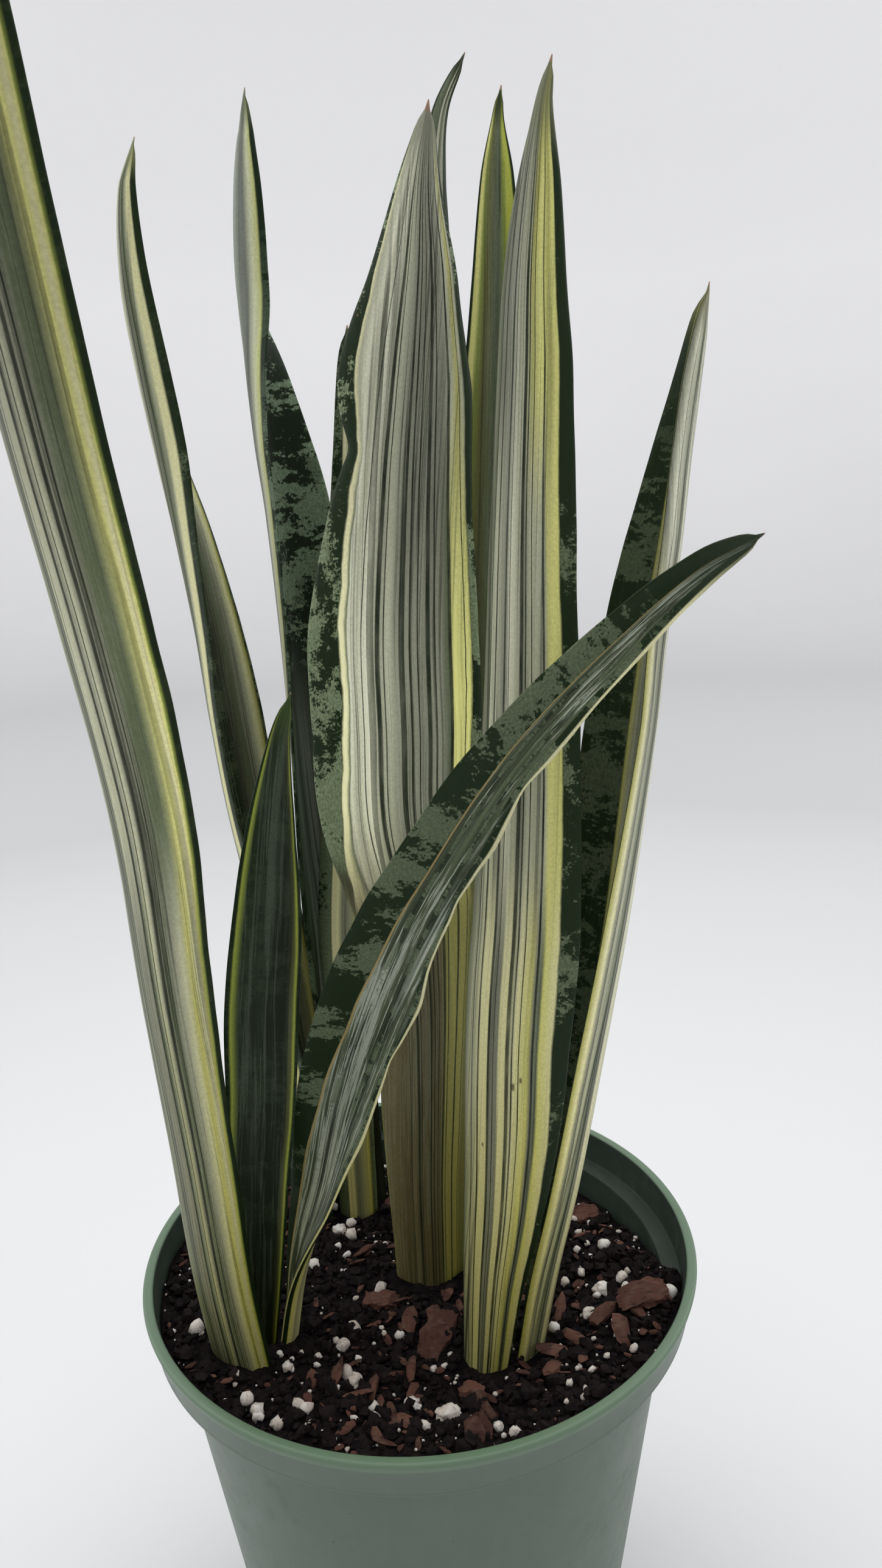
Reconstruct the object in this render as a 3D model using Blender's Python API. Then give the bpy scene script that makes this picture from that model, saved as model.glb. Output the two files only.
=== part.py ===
"""Potted snake plant: a nursery pot, its potting mix and eleven striped leaves."""

import math

import bmesh
import bpy
from mathutils import Vector, noise

MM = 0.001

# Pot
RIM_RADIUS = 82.5 * MM
POT_HEIGHT = 150 * MM
BAND_DRAFT = 2.7 * MM
STEP_WIDTH = 5.6 * MM
LIP_WIDTH = 3.1 * MM
LIP_ROLL = 1.0 * MM
BAND_HEIGHT = 11.6 * MM
BODY_TAPER = 0.1414
WALL = 1.5 * MM
FLOOR_THICKNESS = 2.0 * MM
FOOT_ROUND = 2.0 * MM
DRAIN_COUNT = 6
DRAIN_RADIUS = 5.0 * MM
DRAIN_RING = 0.72
POT_STEPS = 64

# Potting mix
GAP = 0.3 * MM
CORNER_GAP = 0.5 * MM
WALL_MARGIN = 1.8 * MM
GRAIN_PROUD = 0.22
SOIL_BELOW_RIM = 18.0 * MM
SOIL_RISE = 9.6 * MM
SOIL_BUMPS = 1.0 * MM
ROOT_DEPTH = 26 * MM
SOIL_STEPS = 44
SOIL_GRID = 22

# Leaves, drawn for a pot 165 mm across; the plant keeps its proportion to its pot
DRAWN_RIM_RADIUS = 82.5 * MM
LEAF_THICKNESS = 3.0 * MM
LEAF_STANDOFF = 1.5 * MM
LEAF_TIP_WIDTH = 1.4 * MM
LEAF_RINGS = 22
LEAF_SEGMENTS = 12

BAND_RADIUS = RIM_RADIUS - BAND_DRAFT
BODY_TOP_RADIUS = BAND_RADIUS - STEP_WIDTH
STEP_Z = POT_HEIGHT - BAND_HEIGHT
FOOT_RADIUS = BODY_TOP_RADIUS - BODY_TAPER * STEP_Z
SOIL_Z = POT_HEIGHT - SOIL_BELOW_RIM
SHELF_EDGE = BODY_TOP_RADIUS + BODY_TAPER * (WALL + GAP) - WALL - GAP
PLANT_SCALE = RIM_RADIUS / DRAWN_RIM_RADIUS
PLANT_MM = MM * PLANT_SCALE

# Each leaf is a row of stations from the mix to the tip, in millimetres and degrees:
# height above the middle of the mix, x and y of the midrib, width across the blade, the way
# the inner face looks (0 is +X, 90 is +Y), and how far each half folds up from flat.
LEAVES = {
    "leaf_front_left_tall": [
        (-1, -52.5, -35, 19, 74, 26),
        (31, -56.0, -36.5, 20, 72, 25),
        (73, -58, -39.5, 22, 66, 24),
        (118, -60, -44, 25, 62, 24),
        (167, -59, -56, 28, 60, 22),
        (209, -60.5, -70, 30, 58, 20),
        (244, -62, -84, 29, 58, 20),
        (284, -62.5, -101, 28.5, 58, 20),
        (318, -62.5, -116, 26, 58, 22),
        (346, -61, -128, 15, 58, 24),
        (368, -59, -137, 2, 58, 10)],
    "leaf_front_left_small": [
        (-1, -49, -18, 12, -88, 24),
        (28, -46.5, -18.5, 15.5, -86, 22),
        (58, -44, -19, 18.5, -84, 20),
        (80, -41.5, -18.5, 20, -82, 20),
        (106, -39.5, -17, 21, -80, 20),
        (131, -36.5, -16, 19.5, -78, 22),
        (155, -33.5, -14, 14, -78, 24),
        (178, -29.5, -12, 6, -78, 24),
        (189, -25.6, -11, 2, -78, 10)],
    "leaf_leaning_right": [
        (-1, -37.5, -16.5, 14, 176, 22),
        (20, -33.5, -16, 16.5, 188, 26),
        (49, -24.8, -16, 22.5, 218, 29),
        (78, -18.8, -17, 25, 244, 30),
        (107, -10.2, -24, 28, 257, 28),
        (135, 0.8, -33.5, 24.5, 262, 27),
        (160, 14.5, -42, 21, 264, 28),
        (182, 30.5, -47, 17.5, 266, 30),
        (202, 51.5, -46, 15, 268, 32),
        (217, 71.5, -42, 10, 270, 34),
        (224, 88, -39, 2, 270, 10)],
    "leaf_back_left_outer": [
        (-1, -35.0, 42, 16, -8, 40),
        (38, -39.0, 44, 20, -12, 40),
        (88, -45.0, 48, 26, -22, 42),
        (139, -53.5, 53, 30, -32, 44),
        (171, -57.5, 57, 30, -32, 44),
        (198, -60.5, 60, 28, -22, 42),
        (226, -64.5, 63, 26, -8, 40),
        (254, -69.0, 66, 25, 12, 38),
        (281, -73.0, 69, 22, 24, 36),
        (308, -75.5, 72, 17.5, 30, 34),
        (334, -73.5, 74, 9.5, 30, 30),
        (348, -67.8, 76, 2, 30, 10)],
    "leaf_back_left_inner": [
        (-1, -18.0, 50, 14, -75, 30),
        (38, -21.0, 53, 17, -68, 32),
        (88, -25.5, 56, 23, -58, 36),
        (139, -30.0, 57.5, 30, -48, 40),
        (197, -32.5, 59, 37, -38, 42),
        (235, -34.5, 60.5, 37, -34, 42),
        (258, -37.0, 62, 32, -28, 42),
        (279, -38.5, 63, 26, -12, 40),
        (305, -39.5, 65, 20, 24, 38),
        (331, -38.0, 67, 16, 26, 34),
        (350, -35.0, 69, 6, 26, 24),
        (358, -33.0, 69.5, 2, 26, 10)],
    "leaf_back_small": [
        (-1, -20.7, 36.5, 14, 90, 22),
        (38, -20.5, 38, 15, 90, 20),
        (98, -20.0, 41, 17, 90, 20),
        (130, -17.5, 43, 17, 90, 20),
        (198, -11.5, 46, 17, 90, 20),
        (251, -7.5, 48, 13, 90, 22),
        (277, -7.0, 49.5, 7, 90, 22),
        (288, -6.5, 50, 2, 90, 10)],
    "leaf_centre_broad": [
        (-1, 2.5, 0.5, 23, 90, 24),
        (33, 3, 1, 25, 90, 22),
        (64, 4.5, 1.5, 27, 90, 20),
        (93, 5.5, 2, 31, 90, 20),
        (121, 4.5, 2.5, 39, 90, 18),
        (148, 1.0, 3, 48, 90, 17),
        (174, 1.5, 4, 50, 90, 16),
        (199, 2.0, 5.5, 50, 90, 16),
        (224, 4.5, 7.5, 45, 90, 17),
        (248, 8.5, 9.5, 37, 90, 18),
        (271, 9.0, 12, 37, 90, 18),
        (294, 12.5, 14.5, 26, 90, 20),
        (316, 15.0, 17.5, 13.5, 90, 22),
        (336, 18.5, 20, 2, 90, 10)],
    "leaf_centre_back": [
        (-1, 17.0, 15, 16, -95, 28),
        (58, 20.0, 19, 20, -94, 26),
        (118, 24.5, 23, 24, -93, 24),
        (188, 29.5, 28, 26, -92, 24),
        (248, 33.5, 33, 23, -92, 26),
        (286, 36.0, 36, 18, -92, 28),
        (322, 37.5, 39, 10.5, -92, 30),
        (338, 38.5, 40, 3.5, -92, 24),
        (346, 39.8, 40.5, 2, -92, 10)],
    "leaf_back_curved": [
        (-1, 4.0, 36, 12, 90, 24),
        (68, 6.0, 40, 15, 90, 22),
        (148, 9.5, 45, 17, 90, 22),
        (218, 13.5, 50, 17, 90, 22),
        (278, 17.5, 54, 15, 90, 24),
        (311, 19.5, 56, 13, 90, 24),
        (330, 21.0, 57, 9, 90, 24),
        (348, 24.5, 59, 5, 90, 20),
        (362, 32.0, 60, 2, 90, 10)],
    "leaf_front_right_tall": [
        (-1, 15.0, -36.5, 14.5, 70, 26),
        (28, 17.5, -36.5, 20, 66, 26),
        (55, 20.5, -36.5, 27, 62, 26),
        (82, 22.5, -36, 32.5, 58, 26),
        (108, 24.5, -35.5, 34.5, 56, 26),
        (132, 27.0, -35, 34.5, 56, 26),
        (179, 30.0, -32, 30.5, 56, 26),
        (223, 32.5, -27, 26.5, 56, 26),
        (265, 35.5, -21, 22.5, 56, 26),
        (286, 37.0, -18, 18.5, 58, 26),
        (306, 39.5, -15, 13, 60, 26),
        (324, 42.5, -12, 5, 60, 22),
        (334, 45.6, -10, 2, 60, 10)],
    "leaf_right_folded": [
        (-1, 33.0, -29.5, 17, 168, 38),
        (24, 38.5, -27.5, 20, 172, 40),
        (50, 45.0, -26, 23, 178, 42),
        (76, 50.5, -24, 26, 184, 43),
        (126, 60.5, -20, 32, 194, 44),
        (175, 68.5, -15.5, 35, 202, 44),
        (198, 72.0, -13, 31, 199, 44),
        (221, 76.5, -10, 27, 196, 44),
        (243, 80.0, -7, 20, 190, 44),
        (266, 84.0, -3.5, 12, 182, 42),
        (279, 86.0, -1, 7, 182, 30),
        (286, 86.5, 0, 2, 182, 10)],
}

# Bark chips that lie on the mix: x, y, length, width, thickness, heading, roll about the length,
# slope that lifts the far end, height of the middle above the mix.
BARK = {
    "bark_rim_right": (64.5, -24.5, 15.5, 8.5, 2.6, 2, 2, 11, 1.7),
    "bark_centre": (3.5, -21.5, 20, 8.0, 3.0, 68, 6, 4, 0.8),
    "bark_middle_left": (-13.0, -6.0, 11, 6.0, 2.4, -12, 4, 3, 0.7),
    "bark_front": (11.8, -48.0, 9.5, 6.5, 2.2, 112, 5, 3, 0.8),
    "bark_back_right": (55.0, 30, 12, 7.5, 2.4, 8, 6, 4, 0.9),
    "bark_curl": (-8.0, -57.5, 8, 4.0, 1.8, -20, 6, 4, 0.9),
}

# Perlite grains that lie on the mix: x, y, length, width, height, heading, seed.
PERLITE = {
    "perlite_front": (4.6, -54.5, 7.2, 4.4, 3.8, 12, 3),
    "perlite_front_left": (-5.0, -49.0, 4.8, 4.2, 3.6, 40, 8),
    "perlite_right": (54.0, -14.0, 6.6, 4.4, 3.8, -10, 5),
    "perlite_right_near": (48.0, -22.0, 4.8, 4.2, 3.6, 30, 11),
    "perlite_left": (-20.5, -36.5, 5.2, 4.4, 3.8, 75, 14),
    "perlite_back_left": (-27.0, 30.0, 5.0, 4.2, 3.6, 20, 17),
}


def material(name, colour, roughness, metallic=0.0):
    mat = bpy.data.materials.new(name)
    mat.use_nodes = True
    shader = mat.node_tree.nodes["Principled BSDF"]
    shader.inputs["Base Color"].default_value = (*colour, 1.0)
    shader.inputs["Roughness"].default_value = roughness
    shader.inputs["Metallic"].default_value = metallic
    return mat


def add_object(name, bm, mat=None, smooth_angle=40):
    mesh = bpy.data.meshes.new(name)
    bm.to_mesh(mesh)
    bm.free()
    obj = bpy.data.objects.new(name, mesh)
    bpy.context.scene.collection.objects.link(obj)
    if mat:
        mesh.materials.append(mat)
    mesh.shade_smooth()
    mesh.set_sharp_from_angle(angle=math.radians(smooth_angle))
    return obj


def as_cutter(obj):
    obj.hide_render = True
    obj.display_type = "WIRE"
    return obj


def cut(obj, cutter):
    mod = obj.modifiers.new(cutter.name, "BOOLEAN")
    mod.operation = "DIFFERENCE"
    mod.solver = "EXACT"
    mod.object = cutter


def turned(name, profile, steps, mat=None):
    """A solid of revolution: the profile runs from the axis at the top, down the outside, to the axis."""
    bm = bmesh.new()
    verts = [bm.verts.new((r, 0.0, z)) for r, z in profile]
    for a, b in zip(verts, verts[1:]):
        bm.edges.new((a, b))
    obj = add_object(name, bm, mat, 30)
    screw = obj.modifiers.new("turn", "SCREW")
    screw.steps = steps
    screw.render_steps = steps
    screw.use_merge_vertices = True
    screw.merge_threshold = 0.00001
    screw.use_smooth_shade = True
    return obj


def body_radius(z):
    return FOOT_RADIUS + BODY_TAPER * z


def band_inner_radius(z):
    lip_inner = RIM_RADIUS - LIP_WIDTH
    step_inner = BAND_RADIUS - WALL
    t = (z - STEP_Z) / BAND_HEIGHT
    return step_inner + (lip_inner - step_inner) * t


def pot_profile():
    top = POT_HEIGHT
    lip_in = RIM_RADIUS - LIP_WIDTH
    shelf = STEP_Z + WALL
    inner_top = body_radius(shelf) - WALL
    floor_in = body_radius(FLOOR_THICKNESS + FOOT_ROUND) - WALL
    profile = [(0.0, FLOOR_THICKNESS), (floor_in - FOOT_ROUND, FLOOR_THICKNESS)]
    profile += [(floor_in, FLOOR_THICKNESS + FOOT_ROUND), (inner_top, shelf - 0.6 * MM)]
    profile += [(inner_top + 0.6 * MM, shelf), (band_inner_radius(shelf) - 0.6 * MM, shelf)]
    profile += [(band_inner_radius(shelf), shelf + 0.6 * MM), (lip_in, top - LIP_ROLL)]
    profile += [(lip_in + 0.35 * MM, top - 0.25 * MM), (lip_in + LIP_ROLL, top)]
    profile += [(RIM_RADIUS - LIP_ROLL, top), (RIM_RADIUS - 0.3 * MM, top - 0.3 * MM)]
    profile += [(RIM_RADIUS, top - LIP_ROLL), (RIM_RADIUS - 0.2 * MM, top - 2.0 * MM)]
    profile += [(RIM_RADIUS - 1.0 * MM, top - 2.8 * MM), (BAND_RADIUS + 0.35 * MM, STEP_Z + 0.8 * MM)]
    profile += [(BAND_RADIUS, STEP_Z + 0.2 * MM), (BAND_RADIUS - 0.4 * MM, STEP_Z)]
    profile += [(BODY_TOP_RADIUS + 0.6 * MM, STEP_Z), (body_radius(STEP_Z - 0.8 * MM), STEP_Z - 0.8 * MM)]
    for share in (0.75, 0.5, 0.25):
        profile.append((body_radius(share * STEP_Z), share * STEP_Z))
    profile += [(body_radius(FOOT_ROUND), FOOT_ROUND)]
    profile += [(FOOT_RADIUS - 0.3 * FOOT_ROUND, 0.3 * FOOT_ROUND), (FOOT_RADIUS - FOOT_ROUND, 0.0)]
    profile += [(0.0, 0.0)]
    return profile


def build_pot(mat):
    pot = turned("pot", pot_profile(), POT_STEPS, mat)
    for i in range(DRAIN_COUNT):
        bm = bmesh.new()
        bmesh.ops.create_cone(bm, cap_ends=True, segments=24, radius1=DRAIN_RADIUS, radius2=DRAIN_RADIUS,
                              depth=6 * FLOOR_THICKNESS)
        hole = as_cutter(add_object(f"drain_cutter_{i}", bm))
        angle = 2 * math.pi * (i + 0.5) / DRAIN_COUNT
        ring = DRAIN_RING * FOOT_RADIUS
        hole.location = (ring * math.cos(angle), ring * math.sin(angle), 0.0)
        cut(pot, hole)
    return pot


def smooth_step(t):
    t = min(max(t, 0.0), 1.0)
    return t * t * (3 - 2 * t)


def pot_inner_radius(z):
    return band_inner_radius(z) if z > STEP_Z + WALL else body_radius(z) - WALL


def soil_height(x, y):
    """The mix is low in the middle, rises to the rim round the front and stays low at the back.

    Over the pot's shelf it keeps the height it has at the shelf's edge, so none of it lies apart.
    """
    inward = SHELF_EDGE / max(math.hypot(x, y), SHELF_EDGE)
    x, y = x * inward, y * inward
    edge = smooth_step((math.hypot(x, y) / RIM_RADIUS - 0.45) / 0.47)
    back = smooth_step(((0.35 * x + 0.94 * y) / RIM_RADIUS - 0.10) / 0.5)
    bumps = noise.noise(Vector((x * 85, y * 85, 4.0))) + 0.5 * noise.noise(Vector((x * 190, y * 190, 9.0)))
    return SOIL_Z + SOIL_RISE * edge * (1 - back) - 1.0 * MM * back + SOIL_BUMPS * bumps


def build_soil(mat):
    shelf = STEP_Z + WALL + GAP
    low = FLOOR_THICKNESS + GAP
    low_r = body_radius(low) - WALL - GAP
    profile = [(0.0, POT_HEIGHT), (band_inner_radius(POT_HEIGHT) - GAP, POT_HEIGHT)]
    profile += [(band_inner_radius(shelf) - GAP - 0.8 * MM, shelf), (SHELF_EDGE, shelf)]
    profile.append((SHELF_EDGE, shelf - 0.6 * MM))
    profile.append((body_radius(FOOT_ROUND + low) - WALL - GAP, FOOT_ROUND + low))
    profile += [(low_r - FOOT_ROUND - GAP, low), (0.0, low)]
    soil = turned("soil", profile, SOIL_STEPS, mat)
    bm = bmesh.new()
    bmesh.ops.create_grid(bm, x_segments=SOIL_GRID, y_segments=SOIL_GRID, size=RIM_RADIUS * 1.1)
    for v in bm.verts:
        v.co.z = soil_height(v.co.x, v.co.y)
    ceiling = bmesh.ops.extrude_face_region(bm, geom=bm.faces[:])
    for item in ceiling["geom"]:
        if isinstance(item, bmesh.types.BMVert):
            item.co.z = POT_HEIGHT + 10 * MM
    bmesh.ops.recalc_face_normals(bm, faces=bm.faces[:])
    cut(soil, as_cutter(add_object("soil_top_cutter", bm)))
    return soil


def between(rows, s):
    """Catmull-Rom value at s (0 to 1) through rows spaced by their own distance along the leaf."""
    points = [Vector((row[1], row[2], row[0])) for row in rows]
    marks = [0.0]
    for a, b in zip(points, points[1:]):
        marks.append(marks[-1] + (b - a).length)
    target = s * marks[-1]
    i = 0
    while i < len(rows) - 2 and target > marks[i + 1]:
        i += 1
    t = (target - marks[i]) / (marks[i + 1] - marks[i])
    span = marks[i + 1] - marks[i]
    before = rows[max(i - 1, 0)]
    after = rows[min(i + 2, len(rows) - 1)]
    gap_before = marks[i + 1] - marks[max(i - 1, 0)]
    gap_after = marks[min(i + 2, len(rows) - 1)] - marks[i]
    values = []
    for k in range(len(rows[0])):
        p0, p1 = rows[i][k], rows[i + 1][k]
        m0 = (p1 - before[k]) / gap_before * span
        m1 = (after[k] - p0) / gap_after * span
        values.append((2 * t ** 3 - 3 * t ** 2 + 1) * p0 + (t ** 3 - 2 * t ** 2 + t) * m0
                      + (3 * t ** 2 - 2 * t ** 3) * p1 + (t ** 3 - t ** 2) * m1)
    return values


def leaf_frame(rows, s):
    """Midrib point, inner-face direction, across direction, width and fold at s."""
    height, x, y, width, facing, fold = between(rows, s)
    ahead = between(rows, min(s + 0.01, 1.0))
    behind = between(rows, max(s - 0.01, 0.0))
    along = Vector((ahead[1] - behind[1], ahead[2] - behind[2], ahead[0] - behind[0])).normalized()
    look = Vector((math.cos(math.radians(facing)), math.sin(math.radians(facing)), 0.0))
    inner = (look - along * look.dot(along)).normalized()
    across = inner.cross(along)
    midrib = Vector((x, y, height)) * PLANT_MM + Vector((0.0, 0.0, SOIL_Z))
    return midrib, along, inner, across, width * PLANT_MM, math.radians(fold)


def section_point(u, side, width, fold, thickness):
    """Across and inward offsets of a channelled blade section, u from -1 to 1.

    The blade's middle stands off its midrib line to the inner side, whatever its thickness.
    """
    soft = 0.45
    rise = (math.sqrt(u * u + soft * soft) - soft) / (math.sqrt(1 + soft * soft) - soft)
    half = width / 2
    middle = min(LEAF_STANDOFF * PLANT_SCALE, 0.175 * width + 0.2 * PLANT_MM)
    return half * u * math.cos(fold), half * math.sin(fold) * rise + middle + 0.5 * thickness * side


def leaf_bmesh(rows, grow=0.0, top_share=1.0):
    """One blade, from ROOT_DEPTH under its first station to its tip; grow swells it for a socket."""
    bm = bmesh.new()
    bmesh.ops.create_cone(bm, cap_ends=True, segments=LEAF_SEGMENTS, radius1=1.0, radius2=1.0, depth=1.0)
    uprights = [e for e in bm.edges if abs(e.verts[0].co.z - e.verts[1].co.z) > 0.5]
    rings = LEAF_RINGS if top_share == 1.0 else 8
    bmesh.ops.subdivide_edges(bm, edges=uprights, cuts=rings, use_grid_fill=True)
    length = sum((Vector(b[:3]) - Vector(a[:3])).length for a, b in zip(rows, rows[1:])) * PLANT_MM
    root = ROOT_DEPTH / length
    turn = math.pi / LEAF_SEGMENTS
    for v in bm.verts:
        angle = math.atan2(v.co.y, v.co.x)
        u, side = math.cos(angle), math.sin(angle)
        s = -root + (top_share + root) * (v.co.z + 0.5)
        mid, along, inner, across, width, fold = leaf_frame(rows, max(s, 0.0))
        if s < 0:
            mid = mid - along * (-s * length) - (along * grow if v.co.z < -0.49 else Vector())
            width = width * (1.0 + 0.25 * s / root)
        width = max(width, LEAF_TIP_WIDTH * PLANT_SCALE)
        thickness = min(LEAF_THICKNESS * PLANT_SCALE, 0.35 * width + 0.4 * PLANT_MM)
        a, b = section_point(u, side, width, fold, thickness)
        tilt = math.atan2(math.sin(fold) * u, math.cos(fold))
        a += grow * (u * math.cos(tilt) - side * math.sin(tilt))
        b += grow * (u * math.sin(tilt) + side * math.cos(tilt))
        v.co = mid + across * a + inner * b
    return bm


def chip_bmesh(length, width, thickness, seed, grow=0.0):
    """A split, slightly bent chip with uneven edges."""
    bm = bmesh.new()
    bmesh.ops.create_cube(bm, size=1.0)
    longest = [e for e in bm.edges if abs(e.verts[0].co.x - e.verts[1].co.x) > 0.5]
    bmesh.ops.subdivide_edges(bm, edges=longest, cuts=3, use_grid_fill=True)
    widest = [e for e in bm.edges if abs(e.verts[0].co.y - e.verts[1].co.y) > 0.5]
    bmesh.ops.subdivide_edges(bm, edges=widest, cuts=1, use_grid_fill=True)
    for v in bm.verts:
        x, y, z = v.co
        rough = noise.noise(Vector((x * 3 + seed, y * 2, z * 0.5)))
        v.co.x = x * length * (1 - 0.16 * abs(y) + 0.10 * rough)
        v.co.y = y * width * (1 - 0.45 * (2 * x) ** 2 * 0.5 + 0.25 * rough)
        v.co.z = z * thickness * (1 - 0.3 * abs(2 * x)) + 0.05 * length * (1 - (2 * x) ** 2)
    swell(bm, grow)
    return bm


def grain_bmesh(length, width, height, seed, grow=0.0):
    """A puffed, lumpy perlite grain."""
    bm = bmesh.new()
    bmesh.ops.create_icosphere(bm, subdivisions=2, radius=0.5)
    for v in bm.verts:
        lump = 1 + 0.28 * noise.noise(v.co * 3.2 + Vector((seed, 0, 0)))
        v.co = Vector((v.co.x * length, v.co.y * width, v.co.z * height)) * lump
    swell(bm, grow)
    return bm


def swell(bm, grow):
    bm.normal_update()
    moves = [(v, v.normal.copy()) for v in bm.verts]
    for v, normal in moves:
        v.co += normal * grow


def on_the_mix(x, y, reach, proud):
    """A spot on the mix, moved in towards the axis where a piece of this reach would pass the wall."""
    room = pot_inner_radius(soil_height(x, y)) - WALL_MARGIN - reach
    share = min(1.0, room / math.hypot(x, y))
    return x * share, y * share, soil_height(x * share, y * share) + proud


def place(obj, spot, heading, roll=0.0, slope=0.0):
    obj.location = spot
    obj.rotation_euler = (math.radians(roll), math.radians(-slope), math.radians(heading))


for old in list(bpy.data.objects):
    bpy.data.objects.remove(old, do_unlink=True)

pot_green = material("pot_plastic", (0.095, 0.20, 0.13), 0.45)
mix_black = material("potting_mix", (0.018, 0.012, 0.010), 0.95)
leaf_green = material("leaf", (0.36, 0.42, 0.26), 0.42)
bark_brown = material("bark", (0.16, 0.065, 0.04), 0.85)
perlite_white = material("perlite", (0.78, 0.74, 0.68), 0.9)

build_pot(pot_green)
soil_body = build_soil(mix_black)

for leaf_name, stations in LEAVES.items():
    add_object(leaf_name, leaf_bmesh(stations), leaf_green, 50)
    socket = as_cutter(add_object(leaf_name + "_socket", leaf_bmesh(stations, grow=GAP, top_share=0.12)))
    cut(soil_body, socket)

for number, (chip_name, chip) in enumerate(BARK.items()):
    cx, cy, long, wide, thick, heading, roll, slope, proud = chip
    size = (long * PLANT_MM, wide * PLANT_MM, thick * PLANT_MM, 2.7 * number)
    spot = on_the_mix(cx * PLANT_MM, cy * PLANT_MM, math.hypot(*size[:2]) / 2, proud * PLANT_MM)
    piece = add_object(chip_name, chip_bmesh(*size), bark_brown, 35)
    seat = as_cutter(add_object(chip_name + "_seat", chip_bmesh(*size, grow=CORNER_GAP)))
    place(piece, spot, heading, roll, slope)
    place(seat, spot, heading, roll, slope)
    cut(soil_body, seat)

for grain_name, (gx, gy, long, wide, tall, heading, seed) in PERLITE.items():
    size = (long * PLANT_MM, wide * PLANT_MM, tall * PLANT_MM, seed)
    spot = on_the_mix(gx * PLANT_MM, gy * PLANT_MM, size[0] / 2, GRAIN_PROUD * size[2])
    piece = add_object(grain_name, grain_bmesh(*size), perlite_white, 60)
    seat = as_cutter(add_object(grain_name + "_seat", grain_bmesh(*size, grow=GAP)))
    place(piece, spot, heading)
    place(seat, spot, heading)
    cut(soil_body, seat)
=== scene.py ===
"""Potted snake plant: striped leaves, a bark and perlite mix, and a green nursery pot."""

import math
import random

import bmesh
import bpy
from mathutils import Matrix, Vector, noise


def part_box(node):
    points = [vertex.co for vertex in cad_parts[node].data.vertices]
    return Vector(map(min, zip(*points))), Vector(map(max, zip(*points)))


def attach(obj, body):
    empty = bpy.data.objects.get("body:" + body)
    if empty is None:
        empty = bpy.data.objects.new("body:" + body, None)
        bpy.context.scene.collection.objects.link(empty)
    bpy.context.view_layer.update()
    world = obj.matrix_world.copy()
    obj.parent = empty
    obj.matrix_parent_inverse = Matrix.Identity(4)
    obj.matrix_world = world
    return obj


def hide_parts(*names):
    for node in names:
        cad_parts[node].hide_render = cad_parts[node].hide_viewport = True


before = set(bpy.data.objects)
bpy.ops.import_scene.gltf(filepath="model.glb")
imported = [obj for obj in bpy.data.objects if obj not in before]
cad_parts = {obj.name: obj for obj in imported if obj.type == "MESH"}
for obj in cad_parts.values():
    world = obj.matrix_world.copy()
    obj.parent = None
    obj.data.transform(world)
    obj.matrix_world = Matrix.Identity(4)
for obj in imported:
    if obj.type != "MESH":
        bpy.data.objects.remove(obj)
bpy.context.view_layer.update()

MM = 0.001
ROOT = "root"

# Camera
CAMERA_SPOT = Vector((0.0, -0.2864, 0.3595))
CAMERA_PITCH = -13.27
CAMERA_YAW = -2.54
CAMERA_ROLL = -2.63
CAMERA_LENS = 24.46

# Stage: the floor's flat part, the radius of its sweep, and its tones from the middle outwards, with
# places as shares of TONE_REACH. The tones are painted light and shade: pale near the pot, darker in a
# ring from about 1.2 m to 2.4 m out, and pale again up the sweep.
FLOOR_REACH = 2.2
SWEEP_RADIUS = 1.6
TONE_REACH = 4.0
FLOOR_SHADING = [
    (0.08, (0.70, 0.705, 0.715)), (0.30, (0.50, 0.503, 0.51)), (0.60, (0.51, 0.513, 0.52)),
    (1.00, (0.83, 0.83, 0.84))]

# Softboxes: place, what they face, size and power.
SOFTBOXES = {
    "overhead": ((0.0, 0.6, 3.4), (0.0, 0.3, 0.0), (4.5, 4.5), 90.0),
    "left": ((-2.0, 0.5, 1.2), (0.0, 0.0, 0.25), (1.4, 1.6), 12.0),
    "right": ((2.0, 0.7, 1.2), (0.0, 0.0, 0.25), (1.4, 1.6), 11.0),
}

# Pot
pot_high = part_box("pot")[1]
RIM_RADIUS = pot_high.x
POT_HEIGHT = pot_high.z
LIP_WIDTH = 3.1 * MM
LIP_ROLL = 1.0 * MM
BAND_HEIGHT = 11.6 * MM
BAND_RADIUS = RIM_RADIUS - 2.7 * MM
BODY_TOP_RADIUS = BAND_RADIUS - 5.6 * MM
BODY_TAPER = 0.1414
WALL = 1.5 * MM
FLOOR_THICKNESS = 2.0 * MM
FOOT_ROUND = 2.0 * MM
DRAIN_COUNT = 6
DRAIN_RADIUS = 5.0 * MM
DRAIN_RING = 0.72
STEP_Z = POT_HEIGHT - BAND_HEIGHT
FOOT_RADIUS = BODY_TOP_RADIUS - BODY_TAPER * STEP_Z
POT_STEPS = 192
SHELF_ROUND = 0.6 * MM
BEAD = 0.7 * MM
NECK_ROUND = 1.1 * MM
FOOT_RING = 6.0 * MM
FOOT_RECESS = 0.8 * MM

# Potting mix
GAP = 0.3 * MM
SOIL_Z = POT_HEIGHT - 18.0 * MM
SOIL_RISE = 9.6 * MM
SHELF_EDGE = BODY_TOP_RADIUS + BODY_TAPER * (WALL + GAP) - WALL - GAP
SOIL_RINGS = 92
SOIL_STEPS = 230

# Leaves
LEAF_THICKNESS = 3.0 * MM
LEAF_TIP_WIDTH = 0.9 * MM
TIP_POINT = 5.0 * MM
LEAF_SEGMENTS = 44
ROOT_DEPTH = 8 * MM
FOOT_SHARE = 0.02
RING_SPACING = 2.4 * MM
RING_CROWDING = 0.94
SECTION_POWER = 0.85
TIP_CURVE = 1.4
TIP_SHARE = 0.16
MARGIN_SOFTNESS = 0.15
LONG_WAVE = 34 * MM
SHORT_WAVE = 13 * MM
FOOT_FADE = (0.46, 0.34)
INNER_FOOT_FADE = (0.56, 0.44)
TOP_FADE = (0.66, 0.80)


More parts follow.
